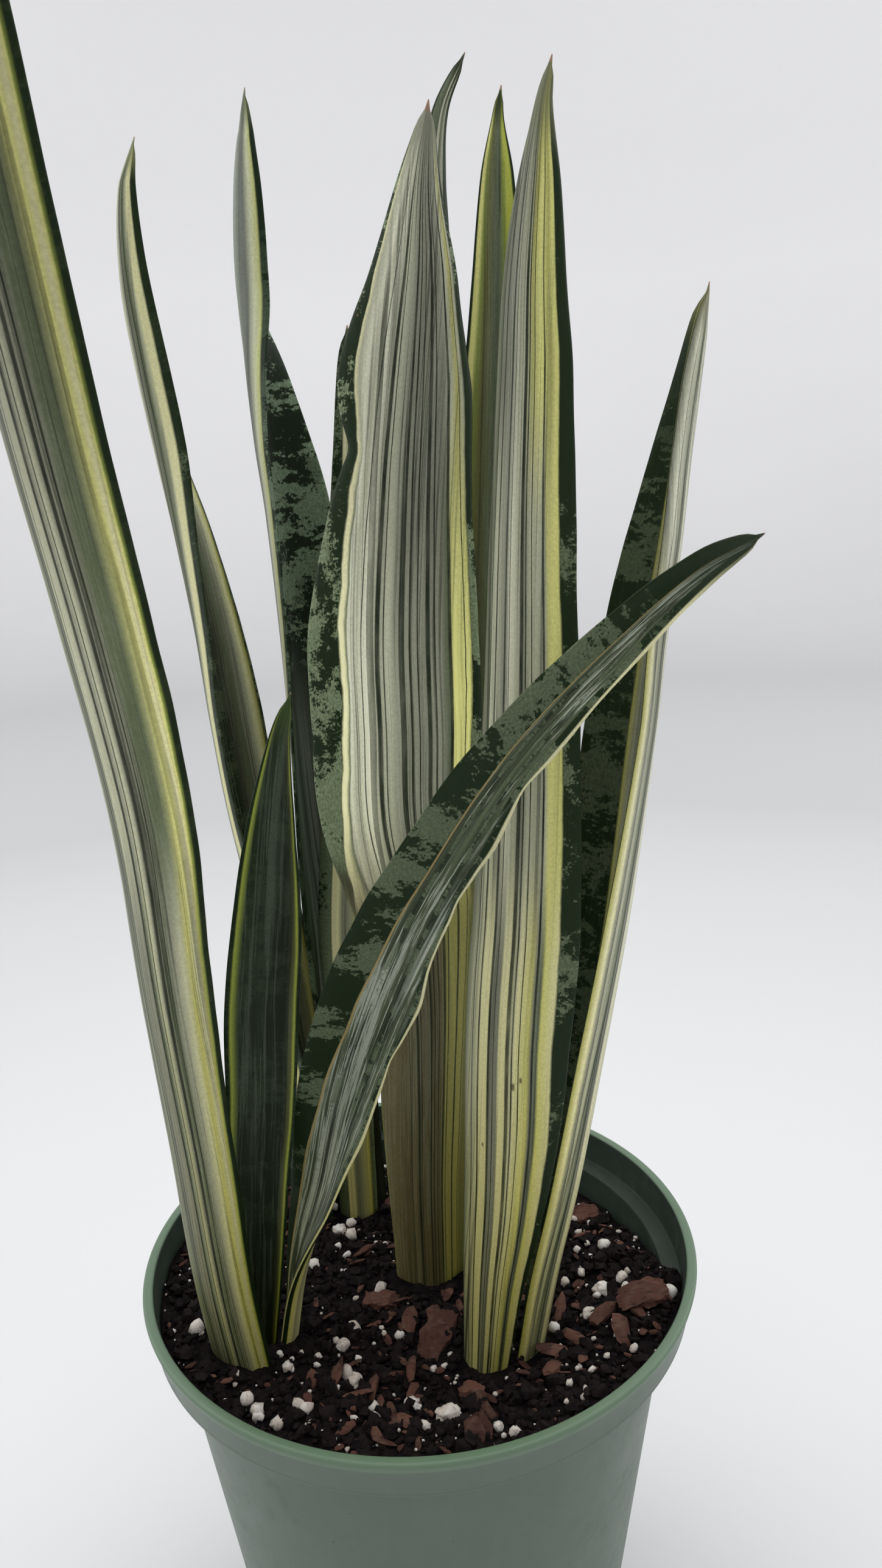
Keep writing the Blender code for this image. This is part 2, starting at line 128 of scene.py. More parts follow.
class Wire:
    """A node's output that takes part in sums: each operator adds its Math node."""

    def __init__(self, finish, output):
        self.finish = finish
        self.output = output

    def math(self, operation, *others):
        values = dict(enumerate((self, *others)))
        return self.finish.node("ShaderNodeMath", {"operation": operation}, values)

    def swapped(self, operation, other):
        return self.finish.node("ShaderNodeMath", {"operation": operation}, {0: other, 1: self})

    def __add__(self, other):
        return self.math("ADD", other)

    def __sub__(self, other):
        return self.math("SUBTRACT", other)

    def __mul__(self, other):
        return self.math("MULTIPLY", other)

    def __truediv__(self, other):
        return self.math("DIVIDE", other)

    def __radd__(self, other):
        return self.swapped("ADD", other)

    def __rsub__(self, other):
        return self.swapped("SUBTRACT", other)

    def __rmul__(self, other):
        return self.swapped("MULTIPLY", other)

    def __abs__(self):
        return self.math("ABSOLUTE")

    def clamp(self):
        return self.finish.node("ShaderNodeClamp", {}, {"Value": self})

    def step(self, low, high):
        """0 below low, 1 above high, with a smooth rise between; high may be the lower one."""
        settings = {"interpolation_type": "SMOOTHSTEP"}
        if low < high:
            sockets = {"Value": self, "From Min": low, "From Max": high}
            return self.finish.node("ShaderNodeMapRange", settings, sockets)
        sockets = {"Value": self, "From Min": high, "From Max": low, "To Min": 1.0, "To Max": 0.0}
        return self.finish.node("ShaderNodeMapRange", settings, sockets)


class Finish:
    """A material, its Principled shader and the nodes that feed it."""

    def __init__(self, name, **constants):
        self.material = bpy.data.materials.new(name)
        self.material.use_nodes = True
        self.tree = self.material.node_tree
        self.shader = self.tree.nodes["Principled BSDF"]
        names = {"roughness": "Roughness", "specular_level": "Specular IOR Level"}
        for key, value in constants.items():
            self.shader.inputs[names[key]].default_value = value

    def feed(self, socket, value):
        if isinstance(value, Wire):
            self.tree.links.new(value.output, socket)
        else:
            socket.default_value = value

    def node(self, kind, settings, sockets, output=0):
        node = self.tree.nodes.new(kind)
        for key, value in settings.items():
            if key == "stops":
                self.set_stops(node.color_ramp, value)
            else:
                setattr(node, key, value)
        for key, value in sockets.items():
            self.feed(node.inputs[key], value)
        return Wire(self, node.outputs[output])

    def set_stops(self, ramp, stops):
        while len(ramp.elements) < len(stops):
            ramp.elements.new(0.5)
        for element, (place, colour) in zip(ramp.elements, stops):
            element.position = place
            element.color = (*colour, 1.0)

    def ramp(self, factor, stops):
        """stops is a list of (place, colour), in order."""
        return self.node("ShaderNodeValToRGB", {"stops": stops}, {"Fac": factor})

    def mix(self, factor, a, b, blend="MIX"):
        settings = {"data_type": "RGBA", "blend_type": blend, "clamp_factor": True}
        a = a if isinstance(a, Wire) else (*a, 1.0)
        b = b if isinstance(b, Wire) else (*b, 1.0)
        node = self.node("ShaderNodeMix", settings, {"Factor": factor}, "Result")
        mixer = node.output.node
        colour_inputs = [s for s in mixer.inputs if s.type == "RGBA"]
        self.feed(colour_inputs[0], a)
        self.feed(colour_inputs[1], b)
        return Wire(self, next(s for s in mixer.outputs if s.type == "RGBA"))

    def attribute(self, name):
        return self.node("ShaderNodeAttribute", {"attribute_name": name}, {}, "Fac")

    def place(self):
        return self.node("ShaderNodeTexCoord", {}, {}, "Object")

    def vector(self, x, y, z):
        return self.node("ShaderNodeCombineXYZ", {}, {"X": x, "Y": y, "Z": z})

    def axis(self, vector, name):
        return self.node("ShaderNodeSeparateXYZ", {}, {"Vector": vector}, name)

    def noise(self, vector, scale, detail=2.0, roughness=0.5):
        sockets = {"Vector": vector, "Scale": scale, "Detail": detail, "Roughness": roughness}
        return self.node("ShaderNodeTexNoise", {}, sockets, "Fac")

    def weave(self, blade, across, along, seed, detail, roughness=0.5):
        """Noise over a blade, with about this many waves a metre across it and along it."""
        spot = self.vector(blade[0] * across, blade[1] * along, seed)
        return self.noise(spot, 1.0, detail, roughness)

    def least(self, a, b):
        return self.node("ShaderNodeMath", {"operation": "MINIMUM"}, {0: a, 1: b})

    def most(self, a, b):
        return self.node("ShaderNodeMath", {"operation": "MAXIMUM"}, {0: a, 1: b})

    def length(self, vector):
        return self.node("ShaderNodeVectorMath", {"operation": "LENGTH"}, {0: vector}, "Value")

    def stretch(self, vector, factors):
        return self.node("ShaderNodeVectorMath", {"operation": "MULTIPLY"}, {0: vector, 1: factors})

    def shade(self, colour, level):
        """The colour made lighter or darker by a level round 1."""
        sockets = {0: colour, "Scale": level}
        return self.node("ShaderNodeVectorMath", {"operation": "SCALE"}, sockets, "Vector")

    def cell_tint(self, vector, scale, axis):
        """A random level for each cell of a Voronoi pattern, from one channel of its colour."""
        sockets = {"Vector": vector, "Scale": scale}
        return self.axis(self.node("ShaderNodeTexVoronoi", {}, sockets, "Color"), axis)

    def dressed(self, colour, roughness=None, height=None, strength=0.0, distance=0.0):
        """The finish with its colour, roughness and bump; height is in units of distance, in metres."""
        self.feed(self.shader.inputs["Base Color"], colour)
        if roughness is not None:
            self.feed(self.shader.inputs["Roughness"], roughness)
        if height is not None:
            sockets = {"Height": height, "Strength": strength, "Distance": distance}
            self.feed(self.shader.inputs["Normal"], self.node("ShaderNodeBump", {}, sockets))
        return self


# Each leaf is a row of stations from the mix to the tip, in millimetres and degrees:
# height above the middle of the mix, x and y of the midrib, width across the blade, the way
# the inner face looks (0 is +X, 90 is +Y), and how far each half folds up from flat.
LEAVES = {
    "leaf_front_left_tall": [
        (-1, -52.5, -35, 19, 74, 26),
        (31, -56.0, -36.5, 20, 72, 25),
        (73, -58, -39.5, 22, 66, 24),
        (118, -60, -44, 25, 62, 24),
        (167, -59, -56, 28, 60, 22),
        (209, -60.5, -70, 30, 58, 20),
        (244, -62, -84, 29, 58, 20),
        (284, -62.5, -101, 28.5, 58, 20),
        (318, -62.5, -116, 26, 58, 22),
        (346, -61, -128, 15, 58, 24),
        (368, -59, -137, 2, 58, 10)],
    "leaf_front_left_small": [
        (-1, -49, -18, 12, -88, 24),
        (28, -46.5, -18.5, 15.5, -86, 22),
        (58, -44, -19, 18.5, -84, 20),
        (80, -41.5, -18.5, 20, -82, 20),
        (106, -39.5, -17, 21, -80, 20),
        (131, -36.5, -16, 19.5, -78, 22),
        (155, -33.5, -14, 14, -78, 24),
        (178, -29.5, -12, 6, -78, 24),
        (189, -25.6, -11, 2, -78, 10)],
    "leaf_leaning_right": [
        (-1, -37.5, -16.5, 14, 176, 22),
        (20, -33.5, -16, 16.5, 188, 26),
        (49, -24.8, -16, 22.5, 218, 29),
        (78, -18.8, -17, 25, 244, 30),
        (107, -10.2, -24, 28, 257, 28),
        (135, 0.8, -33.5, 24.5, 262, 27),
        (160, 14.5, -42, 21, 264, 28),
        (182, 30.5, -47, 17.5, 266, 30),
        (202, 51.5, -46, 15, 268, 32),
        (217, 71.5, -42, 10, 270, 34),
        (224, 88, -39, 2, 270, 10)],
    "leaf_back_left_outer": [
        (-1, -35.0, 42, 16, -8, 40),
        (38, -39.0, 44, 20, -12, 40),
        (88, -45.0, 48, 26, -22, 42),
        (139, -53.5, 53, 30, -32, 44),
        (171, -57.5, 57, 30, -32, 44),
        (198, -60.5, 60, 28, -22, 42),
        (226, -64.5, 63, 26, -8, 40),
        (254, -69.0, 66, 25, 12, 38),
        (281, -73.0, 69, 22, 24, 36),
        (308, -75.5, 72, 17.5, 30, 34),
        (334, -73.5, 74, 9.5, 30, 30),
        (348, -67.8, 76, 2, 30, 10)],
    "leaf_back_left_inner": [
        (-1, -18.0, 50, 14, -75, 30),
        (38, -21.0, 53, 17, -68, 32),
        (88, -25.5, 56, 23, -58, 36),
        (139, -30.0, 57.5, 30, -48, 40),
        (197, -32.5, 59, 37, -38, 42),
        (235, -34.5, 60.5, 37, -34, 42),
        (258, -37.0, 62, 32, -28, 42),
        (279, -38.5, 63, 26, -12, 40),
        (305, -39.5, 65, 20, 24, 38),
        (331, -38.0, 67, 16, 26, 34),
        (350, -35.0, 69, 6, 26, 24),
        (358, -33.0, 69.5, 2, 26, 10)],
    "leaf_back_small": [
        (-1, -20.7, 36.5, 14, 90, 22),
        (38, -20.5, 38, 15, 90, 20),
        (98, -20.0, 41, 17, 90, 20),
        (130, -17.5, 43, 17, 90, 20),
        (198, -11.5, 46, 17, 90, 20),
        (251, -7.5, 48, 13, 90, 22),
        (277, -7.0, 49.5, 7, 90, 22),
        (288, -6.5, 50, 2, 90, 10)],
    "leaf_centre_broad": [
        (-1, 2.5, 0.5, 23, 90, 24),
        (33, 3, 1, 25, 90, 22),
        (64, 4.5, 1.5, 27, 90, 20),
        (93, 5.5, 2, 31, 90, 20),
        (121, 4.5, 2.5, 39, 90, 18),
        (148, 1.0, 3, 48, 90, 17),
        (174, 1.5, 4, 50, 90, 16),
        (199, 2.0, 5.5, 50, 90, 16),
        (224, 4.5, 7.5, 45, 90, 17),
        (248, 8.5, 9.5, 37, 90, 18),
        (271, 9.0, 12, 37, 90, 18),
        (294, 12.5, 14.5, 26, 90, 20),
        (316, 15.0, 17.5, 13.5, 90, 22),
        (336, 18.5, 20, 2, 90, 10)],
    "leaf_centre_back": [
        (-1, 17.0, 15, 16, -95, 28),
        (58, 20.0, 19, 20, -94, 26),
        (118, 24.5, 23, 24, -93, 24),
        (188, 29.5, 28, 26, -92, 24),
        (248, 33.5, 33, 23, -92, 26),
        (286, 36.0, 36, 18, -92, 28),
        (322, 37.5, 39, 10.5, -92, 30),
        (338, 38.5, 40, 3.5, -92, 24),
        (346, 39.8, 40.5, 2, -92, 10)],
    "leaf_back_curved": [
        (-1, 4.0, 36, 12, 90, 24),
        (68, 6.0, 40, 15, 90, 22),
        (148, 9.5, 45, 17, 90, 22),
        (218, 13.5, 50, 17, 90, 22),
        (278, 17.5, 54, 15, 90, 24),
        (311, 19.5, 56, 13, 90, 24),
        (330, 21.0, 57, 9, 90, 24),
        (348, 24.5, 59, 5, 90, 20),
        (362, 32.0, 60, 2, 90, 10)],
    "leaf_front_right_tall": [
        (-1, 15.0, -36.5, 14.5, 70, 26),
        (28, 17.5, -36.5, 20, 66, 26),
        (55, 20.5, -36.5, 27, 62, 26),
        (82, 22.5, -36, 32.5, 58, 26),
        (108, 24.5, -35.5, 34.5, 56, 26),
        (132, 27.0, -35, 34.5, 56, 26),
        (179, 30.0, -32, 30.5, 56, 26),
        (223, 32.5, -27, 26.5, 56, 26),
        (265, 35.5, -21, 22.5, 56, 26),
        (286, 37.0, -18, 18.5, 58, 26),
        (306, 39.5, -15, 13, 60, 26),
        (324, 42.5, -12, 5, 60, 22),
        (334, 45.6, -10, 2, 60, 10)],
    "leaf_right_folded": [
        (-1, 33.0, -29.5, 17, 168, 38),
        (24, 38.5, -27.5, 20, 172, 40),
        (50, 45.0, -26, 23, 178, 42),
        (76, 50.5, -24, 26, 184, 43),
        (126, 60.5, -20, 32, 194, 44),
        (175, 68.5, -15.5, 35, 202, 44),
        (198, 72.0, -13, 31, 199, 44),
        (221, 76.5, -10, 27, 196, 44),
        (243, 80.0, -7, 20, 190, 44),
        (266, 84.0, -3.5, 12, 182, 42),
        (279, 86.0, -1, 7, 182, 30),
        (286, 86.5, 0, 2, 182, 10)],
}

# Bark chips that lie on the mix: x, y, length, width, thickness, heading, roll about the length,
# slope that lifts the far end, height of the middle above the mix.
BARK = {
    "bark_rim_right": (64.5, -24.5, 15.5, 8.5, 2.6, 2, 2, 11, 1.7),
    "bark_centre": (3.5, -21.5, 20, 8.0, 3.0, 68, 6, 4, 0.8),
    "bark_middle_left": (-13.0, -6.0, 11, 6.0, 2.4, -12, 4, 3, 0.7),
    "bark_front": (11.8, -48.0, 9.5, 6.5, 2.2, 112, 5, 3, 0.8),
    "bark_back_right": (55.0, 30, 12, 7.5, 2.4, 8, 6, 4, 0.9),
    "bark_curl": (-8.0, -57.5, 8, 4.0, 1.8, -20, 6, 4, 0.9),
}

# How finely a chip is divided along its length, width and thickness
CHIP_CUTS = (27, 13, 3)

# Perlite grains that lie on the mix: x, y, length, width, height, heading, seed.
PERLITE = {
    "perlite_front": (4.6, -54.5, 7.2, 4.4, 3.8, 12, 3),
    "perlite_front_left": (-5.0, -49.0, 4.8, 4.2, 3.6, 40, 8),
    "perlite_right": (54.0, -14.0, 6.6, 4.4, 3.8, -10, 5),
    "perlite_right_near": (48.0, -22.0, 4.8, 4.2, 3.6, 30, 11),
    "perlite_left": (-20.5, -36.5, 5.2, 4.4, 3.8, 75, 14),
    "perlite_back_left": (-27.0, 30.0, 5.0, 4.2, 3.6, 20, 17),
}

# Loose bits strewn on the mix: count, smallest and largest size, how far they are drawn outwards and
# their shape. A lump also has a flatness, the share of its size that stands proud, and a roughness.
PEAT_CRUMBS = [(4200, 0.9, 3.0, 0.0, "crumb", 0.75, 0.2, 0.6)]
PEAT_LUMPS = [(1300, 2.0, 5.2, 0.0, "clod", 0.85, 0.2, 0.7)]
PERLITE_BITS = [
    (480, 0.7, 2.2, 0.4, "crumb", 0.9, 0.45, 0.35), (160, 2.0, 4.6, 0.6, "clod", 0.95, 0.38, 0.35)]
BARK_BITS = [(320, 2.0, 5.0, 0.0, "clod"), (110, 5.0, 12.0, 0.0, "clod")]

# Leaf colours
WHITE = (0.66, 0.66, 0.51)
PALE = (0.43, 0.44, 0.32)
GREY = (0.215, 0.22, 0.165)
SAGE = (0.115, 0.14, 0.08)
CREAM = (0.74, 0.72, 0.43)
YELLOW = (0.68, 0.67, 0.24)
LIME = (0.22, 0.27, 0.06)
BRIGHT_LIME = (0.44, 0.48, 0.08)
OLIVE = (0.13, 0.13, 0.04)
LINE = (0.018, 0.024, 0.014)
GREEN = (0.011, 0.024, 0.007)
DEEP = (0.022, 0.033, 0.016)
MOTTLE = (0.15, 0.19, 0.11)
STREAK = (0.40, 0.44, 0.35)
DRY = (0.30, 0.19, 0.13)
TAN = (0.36, 0.28, 0.12)
DULL_YELLOW = (0.40, 0.39, 0.12)
# Darkened khaki and yellow for the foot of leaf_centre_broad: partly the base's own olive tone, partly
# painted shade
SHADED_YELLOW = (0.22, 0.21, 0.065)
SHADED_KHAKI = (0.12, 0.105, 0.055)
DUSK = (0.085, 0.088, 0.062)

# Each leaf's two faces: the bands across the blade from one margin (0) to the other (1), each with
# how strongly fine lines show on it. "outer" is the back of the blade, "inner" its channel, "foot"
# and "inner_foot" the same near the mix and "top" the back near the tip. Strokes are bold dark lines
# (place, half width) and scars are dry marks (share of the length, place, reach, half width). Knots
# are the places of the inner edges of the two dark margins in the tables, with rows of where they
# lie on the leaf itself (share of the length, first edge, second edge).
PLAIN_KNOTS = (0.1, 0.9, [(0.0, 0.1, 0.9), (1.0, 0.1, 0.9)])
OUTER_PLAIN = [
    (0.00, GREEN, 0.0), (0.08, GREEN, 0.0), (0.11, YELLOW, 0.1), (0.17, CREAM, 0.2),
    (0.22, PALE, 0.8), (0.34, WHITE, 0.6), (0.42, LINE, 0.2), (0.45, GREY, 1.0),
    (0.58, PALE, 0.9), (0.66, LINE, 0.2), (0.69, GREY, 1.0), (0.80, CREAM, 0.3),
    (0.88, YELLOW, 0.1), (0.92, GREEN, 0.0), (1.00, GREEN, 0.0)]
INNER_PLAIN = [
    (0.00, GREEN, 0.0), (0.05, GREEN, 0.0), (0.09, LIME, 0.2), (0.14, LIME, 0.4),
    (0.20, DEEP, 0.8), (0.45, DEEP, 1.0), (0.52, SAGE, 1.0), (0.60, DEEP, 0.8),
    (0.86, DEEP, 0.5), (0.91, LIME, 0.2), (0.95, GREEN, 0.0), (1.00, GREEN, 0.0)]
BANDS = {
    "leaf_front_left_tall": {
        "outer": [
            (0.00, GREY, 0.6), (0.08, PALE, 0.8), (0.17, SAGE, 1.0), (0.22, GREY, 1.0),
            (0.28, SAGE, 1.0), (0.31, PALE, 0.5), (0.42, PALE, 0.5), (0.48, GREY, 1.0),
            (0.54, PALE, 0.6), (0.58, GREY, 0.8), (0.64, GREY, 1.0), (0.72, SAGE, 0.8),
            (0.80, SAGE, 0.6), (0.84, (0.27, 0.28, 0.13), 0.6), (0.885, YELLOW, 0.5), (0.92, CREAM, 0.5),
            (0.948, YELLOW, 0.2), (0.956, LIME, 0.0), (0.975, GREEN, 0.0)],
        "foot": [
            (0.00, SAGE, 0.6), (0.08, GREY, 0.8), (0.17, SAGE, 1.0), (0.22, GREY, 1.0),
            (0.28, SAGE, 1.0), (0.31, GREY, 0.6), (0.42, GREY, 0.6), (0.48, SAGE, 1.0),
            (0.54, PALE, 0.7), (0.58, GREY, 0.8), (0.64, SAGE, 1.0), (0.72, GREY, 0.8),
            (0.80, PALE, 0.8), (0.86, DULL_YELLOW, 0.7), (0.92, PALE, 0.6), (0.948, DULL_YELLOW, 0.3),
            (0.96, LIME, 0.0), (0.975, GREEN, 0.0)],
        "strokes": [(0.12, 0.006), (0.225, 0.022), (0.27, 0.010), (0.455, 0.018), (0.52, 0.006),
                    (0.60, 0.020), (0.66, 0.007)],
    },
    "leaf_front_left_small": {
        "inner": [
            (0.00, GREEN, 0.0), (0.04, GREEN, 0.0), (0.065, BRIGHT_LIME, 0.2), (0.10, OLIVE, 0.4),
            (0.17, DEEP, 0.8), (0.50, DEEP, 1.0), (0.82, DEEP, 0.8), (0.87, LIME, 0.3),
            (0.915, BRIGHT_LIME, 0.1), (0.945, GREEN, 0.0)],
    },
    "leaf_leaning_right": {
        "inner": [
            (0.00, CREAM, 0.1), (0.03, CREAM, 0.1), (0.045, GREEN, 0.0), (0.10, GREEN, 0.3),
            (0.125, SAGE, 1.0), (0.22, DEEP, 1.0), (0.30, SAGE, 1.0), (0.42, DEEP, 1.0),
            (0.498, SAGE, 0.9), (0.508, TAN, 0.2), (0.519, TAN, 0.0), (0.529, GREEN, 0.0)],
    },
    "leaf_back_left_outer": {
        "outer": [
            (0.00, GREEN, 0.0), (0.10, GREEN, 0.0), (0.13, CREAM, 0.2), (0.28, PALE, 0.8),
            (0.44, PALE, 0.8), (0.52, WHITE, 0.5), (0.60, GREY, 1.0), (0.72, SAGE, 0.9),
            (0.78, PALE, 0.5), (0.82, CREAM, 0.2), (0.90, CREAM, 0.1), (0.93, GREEN, 0.0)],
        "inner": [
            (0.00, GREEN, 0.0), (0.03, GREEN, 0.0), (0.05, DULL_YELLOW, 0.1), (0.09, CREAM, 0.1),
            (0.14, PALE, 0.4), (0.19, GREY, 0.8), (0.27, SAGE, 1.0), (0.32, DUSK, 0.9),
            (0.42, DEEP, 0.8), (0.55, DEEP, 0.8), (0.84, DEEP, 0.5), (0.90, LIME, 0.2),
            (0.94, GREEN, 0.0)],
        "strokes": [(0.62, 0.012), (0.70, 0.009)],
    },
    "leaf_back_left_inner": {
        "outer": [
            (0.00, GREEN, 0.0), (0.05, GREEN, 0.0), (0.09, GREY, 0.4), (0.30, PALE, 0.8),
            (0.50, PALE, 0.6), (0.66, GREY, 0.8), (0.74, GREY, 0.6), (0.84, CREAM, 0.4),
            (0.92, YELLOW, 0.3), (0.95, GREEN, 0.0)],
        "inner": [(0.00, GREEN, 0.0), (0.40, DEEP, 0.0), (0.60, DEEP, 0.0), (1.00, GREEN, 0.0)],
        "inner_foot": [
            (0.00, GREEN, 0.0), (0.06, DUSK, 0.6), (0.25, SAGE, 0.8), (0.45, GREY, 0.8), (0.60, SAGE, 0.8),
            (0.90, SAGE, 0.6), (0.96, GREEN, 0.0)],
    },
    "leaf_back_small": {
        "outer": [
            (0.00, GREEN, 0.0), (0.26, GREEN, 0.1), (0.30, CREAM, 0.1), (0.42, CREAM, 0.3),
            (0.50, GREY, 1.0), (0.68, PALE, 0.8), (0.84, YELLOW, 0.2), (0.92, GREEN, 0.0)],
    },
    "leaf_centre_broad": {
        "outer": [
            (0.00, GREEN, 0.0), (0.140, GREEN, 0.0), (0.152, CREAM, 0.0), (0.175, CREAM, 0.1),
            (0.195, SAGE, 0.4), (0.205, WHITE, 0.4), (0.26, PALE, 0.9), (0.33, WHITE, 0.7),
            (0.385, PALE, 0.8), (0.43, PALE, 0.9), (0.53, GREY, 0.9), (0.66, GREY, 1.0),
            (0.76, GREY, 0.9), (0.81, SAGE, 0.5), (0.84, YELLOW, 0.7), (0.88, YELLOW, 0.5),
            (0.918, YELLOW, 0.4), (0.935, GREEN, 0.0)],
        # painted shade: this foot's dark khaki, olive and yellow bands are partly the base's own olive
        # tone and partly painted shade from the leaves in front and the pot
        "foot": [
            (0.00, OLIVE, 0.6), (0.12, SHADED_KHAKI, 0.8), (0.24, SHADED_KHAKI, 0.7), (0.36, SHADED_KHAKI, 0.9),
            (0.50, SHADED_KHAKI, 0.8), (0.66, SHADED_KHAKI, 0.5), (0.72, SHADED_YELLOW, 0.2), (0.88, SHADED_YELLOW, 0.1),
            (0.92, OLIVE, 0.2)],
        "top": [
            (0.00, GREEN, 0.0), (0.140, GREEN, 0.0), (0.152, CREAM, 0.0), (0.175, PALE, 0.1),
            (0.205, WHITE, 0.4), (0.26, PALE, 0.9), (0.33, WHITE, 0.7), (0.385, PALE, 0.8),
            (0.43, PALE, 0.9), (0.53, GREY, 0.9), (0.66, GREY, 1.0), (0.78, GREY, 0.9),
            (0.84, PALE, 0.8), (0.88, DULL_YELLOW, 0.6), (0.918, PALE, 0.4), (0.935, GREEN, 0.0)],
        "strokes": [(0.305, 0.005), (0.40, 0.018), (0.435, 0.005), (0.545, 0.012), (0.585, 0.008),
                    (0.63, 0.006), (0.69, 0.017), (0.73, 0.007), (0.82, 0.012), (0.895, 0.004)],
        "knots": (0.145, 0.93, [
            (0.00, 0.02, 0.93), (0.36, 0.03, 0.93), (0.40, 0.08, 0.93), (0.45, 0.15, 0.93),
            (0.50, 0.175, 0.935), (0.56, 0.185, 0.95), (0.62, 0.175, 0.95), (0.68, 0.135, 0.95),
            (0.745, 0.085, 0.94), (0.78, 0.125, 0.94), (0.82, 0.125, 0.94), (0.845, 0.11, 0.94),
            (0.88, 0.065, 0.94), (0.93, 0.055, 0.95), (1.00, 0.05, 0.95)]),
    },
    "leaf_centre_back": {
        "inner": [
            (0.00, GREEN, 0.0), (0.07, GREEN, 0.0), (0.11, BRIGHT_LIME, 0.1), (0.24, BRIGHT_LIME, 0.3),
            (0.34, LIME, 0.6), (0.44, SAGE, 0.8), (0.54, SAGE, 0.8), (0.72, OLIVE, 0.6),
            (0.82, LIME, 0.3), (0.88, YELLOW, 0.1), (0.94, YELLOW, 0.1), (0.96, GREEN, 0.0)],
    },
    "leaf_back_curved": {
        "outer": [
            (0.00, GREEN, 0.0), (0.10, DEEP, 0.0), (0.16, SAGE, 0.8), (0.52, SAGE, 1.0),
            (0.57, WHITE, 0.3), (0.63, WHITE, 0.3), (0.68, SAGE, 0.9), (0.84, PALE, 0.3),
            (0.88, GREEN, 0.0)],
    },
    "leaf_front_right_tall": {
        "outer": [
            (0.00, SAGE, 0.5), (0.05, GREY, 0.8), (0.11, SAGE, 1.0), (0.15, PALE, 1.0),
            (0.24, PALE, 1.0), (0.33, GREY, 0.8), (0.37, PALE, 0.7), (0.42, WHITE, 0.3),
            (0.49, PALE, 0.6), (0.56, GREY, 1.0), (0.62, PALE, 0.8), (0.70, PALE, 0.7),
            (0.75, PALE, 0.8), (0.78, YELLOW, 0.6), (0.83, YELLOW, 0.4), (0.868, YELLOW, 0.2),
            (0.884, GREEN, 0.0)],
        "foot": [
            (0.00, SAGE, 0.7), (0.08, PALE, 1.0), (0.16, PALE, 0.6), (0.25, CREAM, 0.2),
            (0.33, CREAM, 0.3), (0.37, GREY, 0.8), (0.45, GREY, 0.8), (0.47, CREAM, 0.2),
            (0.53, CREAM, 0.2), (0.58, PALE, 0.8), (0.61, CREAM, 0.2), (0.70, YELLOW, 0.3),
            (0.73, GREY, 0.9), (0.77, SAGE, 0.5), (0.79, YELLOW, 0.1), (0.868, CREAM, 0.1),
            (0.884, GREEN, 0.0)],
        "top": [
            (0.00, SAGE, 0.5), (0.05, GREY, 0.8), (0.11, SAGE, 1.0), (0.15, GREY, 1.0),
            (0.34, GREY, 1.0), (0.46, PALE, 0.9), (0.54, PALE, 0.7), (0.62, DULL_YELLOW, 0.8),
            (0.70, YELLOW, 0.7), (0.80, DULL_YELLOW, 0.6), (0.84, YELLOW, 0.3), (0.868, YELLOW, 0.2),
            (0.884, GREEN, 0.0)],
        "strokes": [(0.13, 0.009), (0.22, 0.015), (0.355, 0.018), (0.41, 0.006), (0.545, 0.022),
                    (0.585, 0.008), (0.64, 0.006), (0.74, 0.010)],
        "scars": [(0.262, 0.60, 0.004, 0.014), (0.268, 0.66, 0.003, 0.010), (0.205, 0.30, 0.002, 0.012)],
        "knots": (0.05, 0.88, [
            (0.00, 0.05, 0.97), (0.10, 0.05, 0.96), (0.20, 0.05, 0.925), (0.30, 0.05, 0.885),
            (0.40, 0.05, 0.87), (0.50, 0.05, 0.88), (0.60, 0.05, 0.88), (0.70, 0.05, 0.87),
            (0.80, 0.05, 0.885), (0.90, 0.05, 0.89), (1.00, 0.05, 0.89)]),
    },
    "leaf_right_folded": {
        "outer": [
            (0.00, DULL_YELLOW, 0.1), (0.06, CREAM, 0.1), (0.11, GREY, 0.6), (0.16, PALE, 0.6),
            (0.23, SAGE, 1.0), (0.28, GREY, 1.0), (0.33, WHITE, 0.4), (0.45, PALE, 0.7),
            (0.60, GREY, 0.9), (0.72, PALE, 0.8), (0.84, CREAM, 0.2), (0.92, GREEN, 0.0)],
        "top": [
            (0.00, GREY, 0.4), (0.05, PALE, 0.4), (0.10, WHITE, 0.6), (0.20, PALE, 0.8),
            (0.26, SAGE, 1.0), (0.33, WHITE, 0.5), (0.45, PALE, 0.7), (0.60, GREY, 0.9),
            (0.72, PALE, 0.8), (0.84, DULL_YELLOW, 0.4), (0.92, GREEN, 0.0)],
        "inner": [
            (0.00, GREEN, 0.0), (0.06, YELLOW, 0.2), (0.20, SAGE, 0.8), (0.40, PALE, 0.7),
            (0.56, SAGE, 0.6), (0.60, PALE, 0.4), (0.655, DULL_YELLOW, 0.1), (0.67, GREEN, 0.1),
            (0.90, GREEN, 0.1), (0.96, GREEN, 0.0)],
        "strokes": [(0.13, 0.006), (0.245, 0.010), (0.29, 0.006)],
    },
}
BANDS["leaf_leaning_right"]["knots"] = (0.11, 0.518, [
    (0.00, 0.08, 0.80), (0.20, 0.08, 0.80), (0.30, 0.07, 0.71), (0.40, 0.07, 0.62), (0.50, 0.08, 0.56),
    (0.60, 0.10, 0.51), (0.70, 0.15, 0.53), (0.78, 0.14, 0.53), (0.88, 0.24, 0.51), (1.00, 0.36, 0.50)])

# Where a margin has a dent, the stripes run on straight past it: height, x of the midrib and width
# that the blade would have there without the dent.
UNDENTED = {"leaf_centre_broad": {224: (4.0, 46.5), 248: (6.4, 42.0), 271: (9.4, 36.0)}}

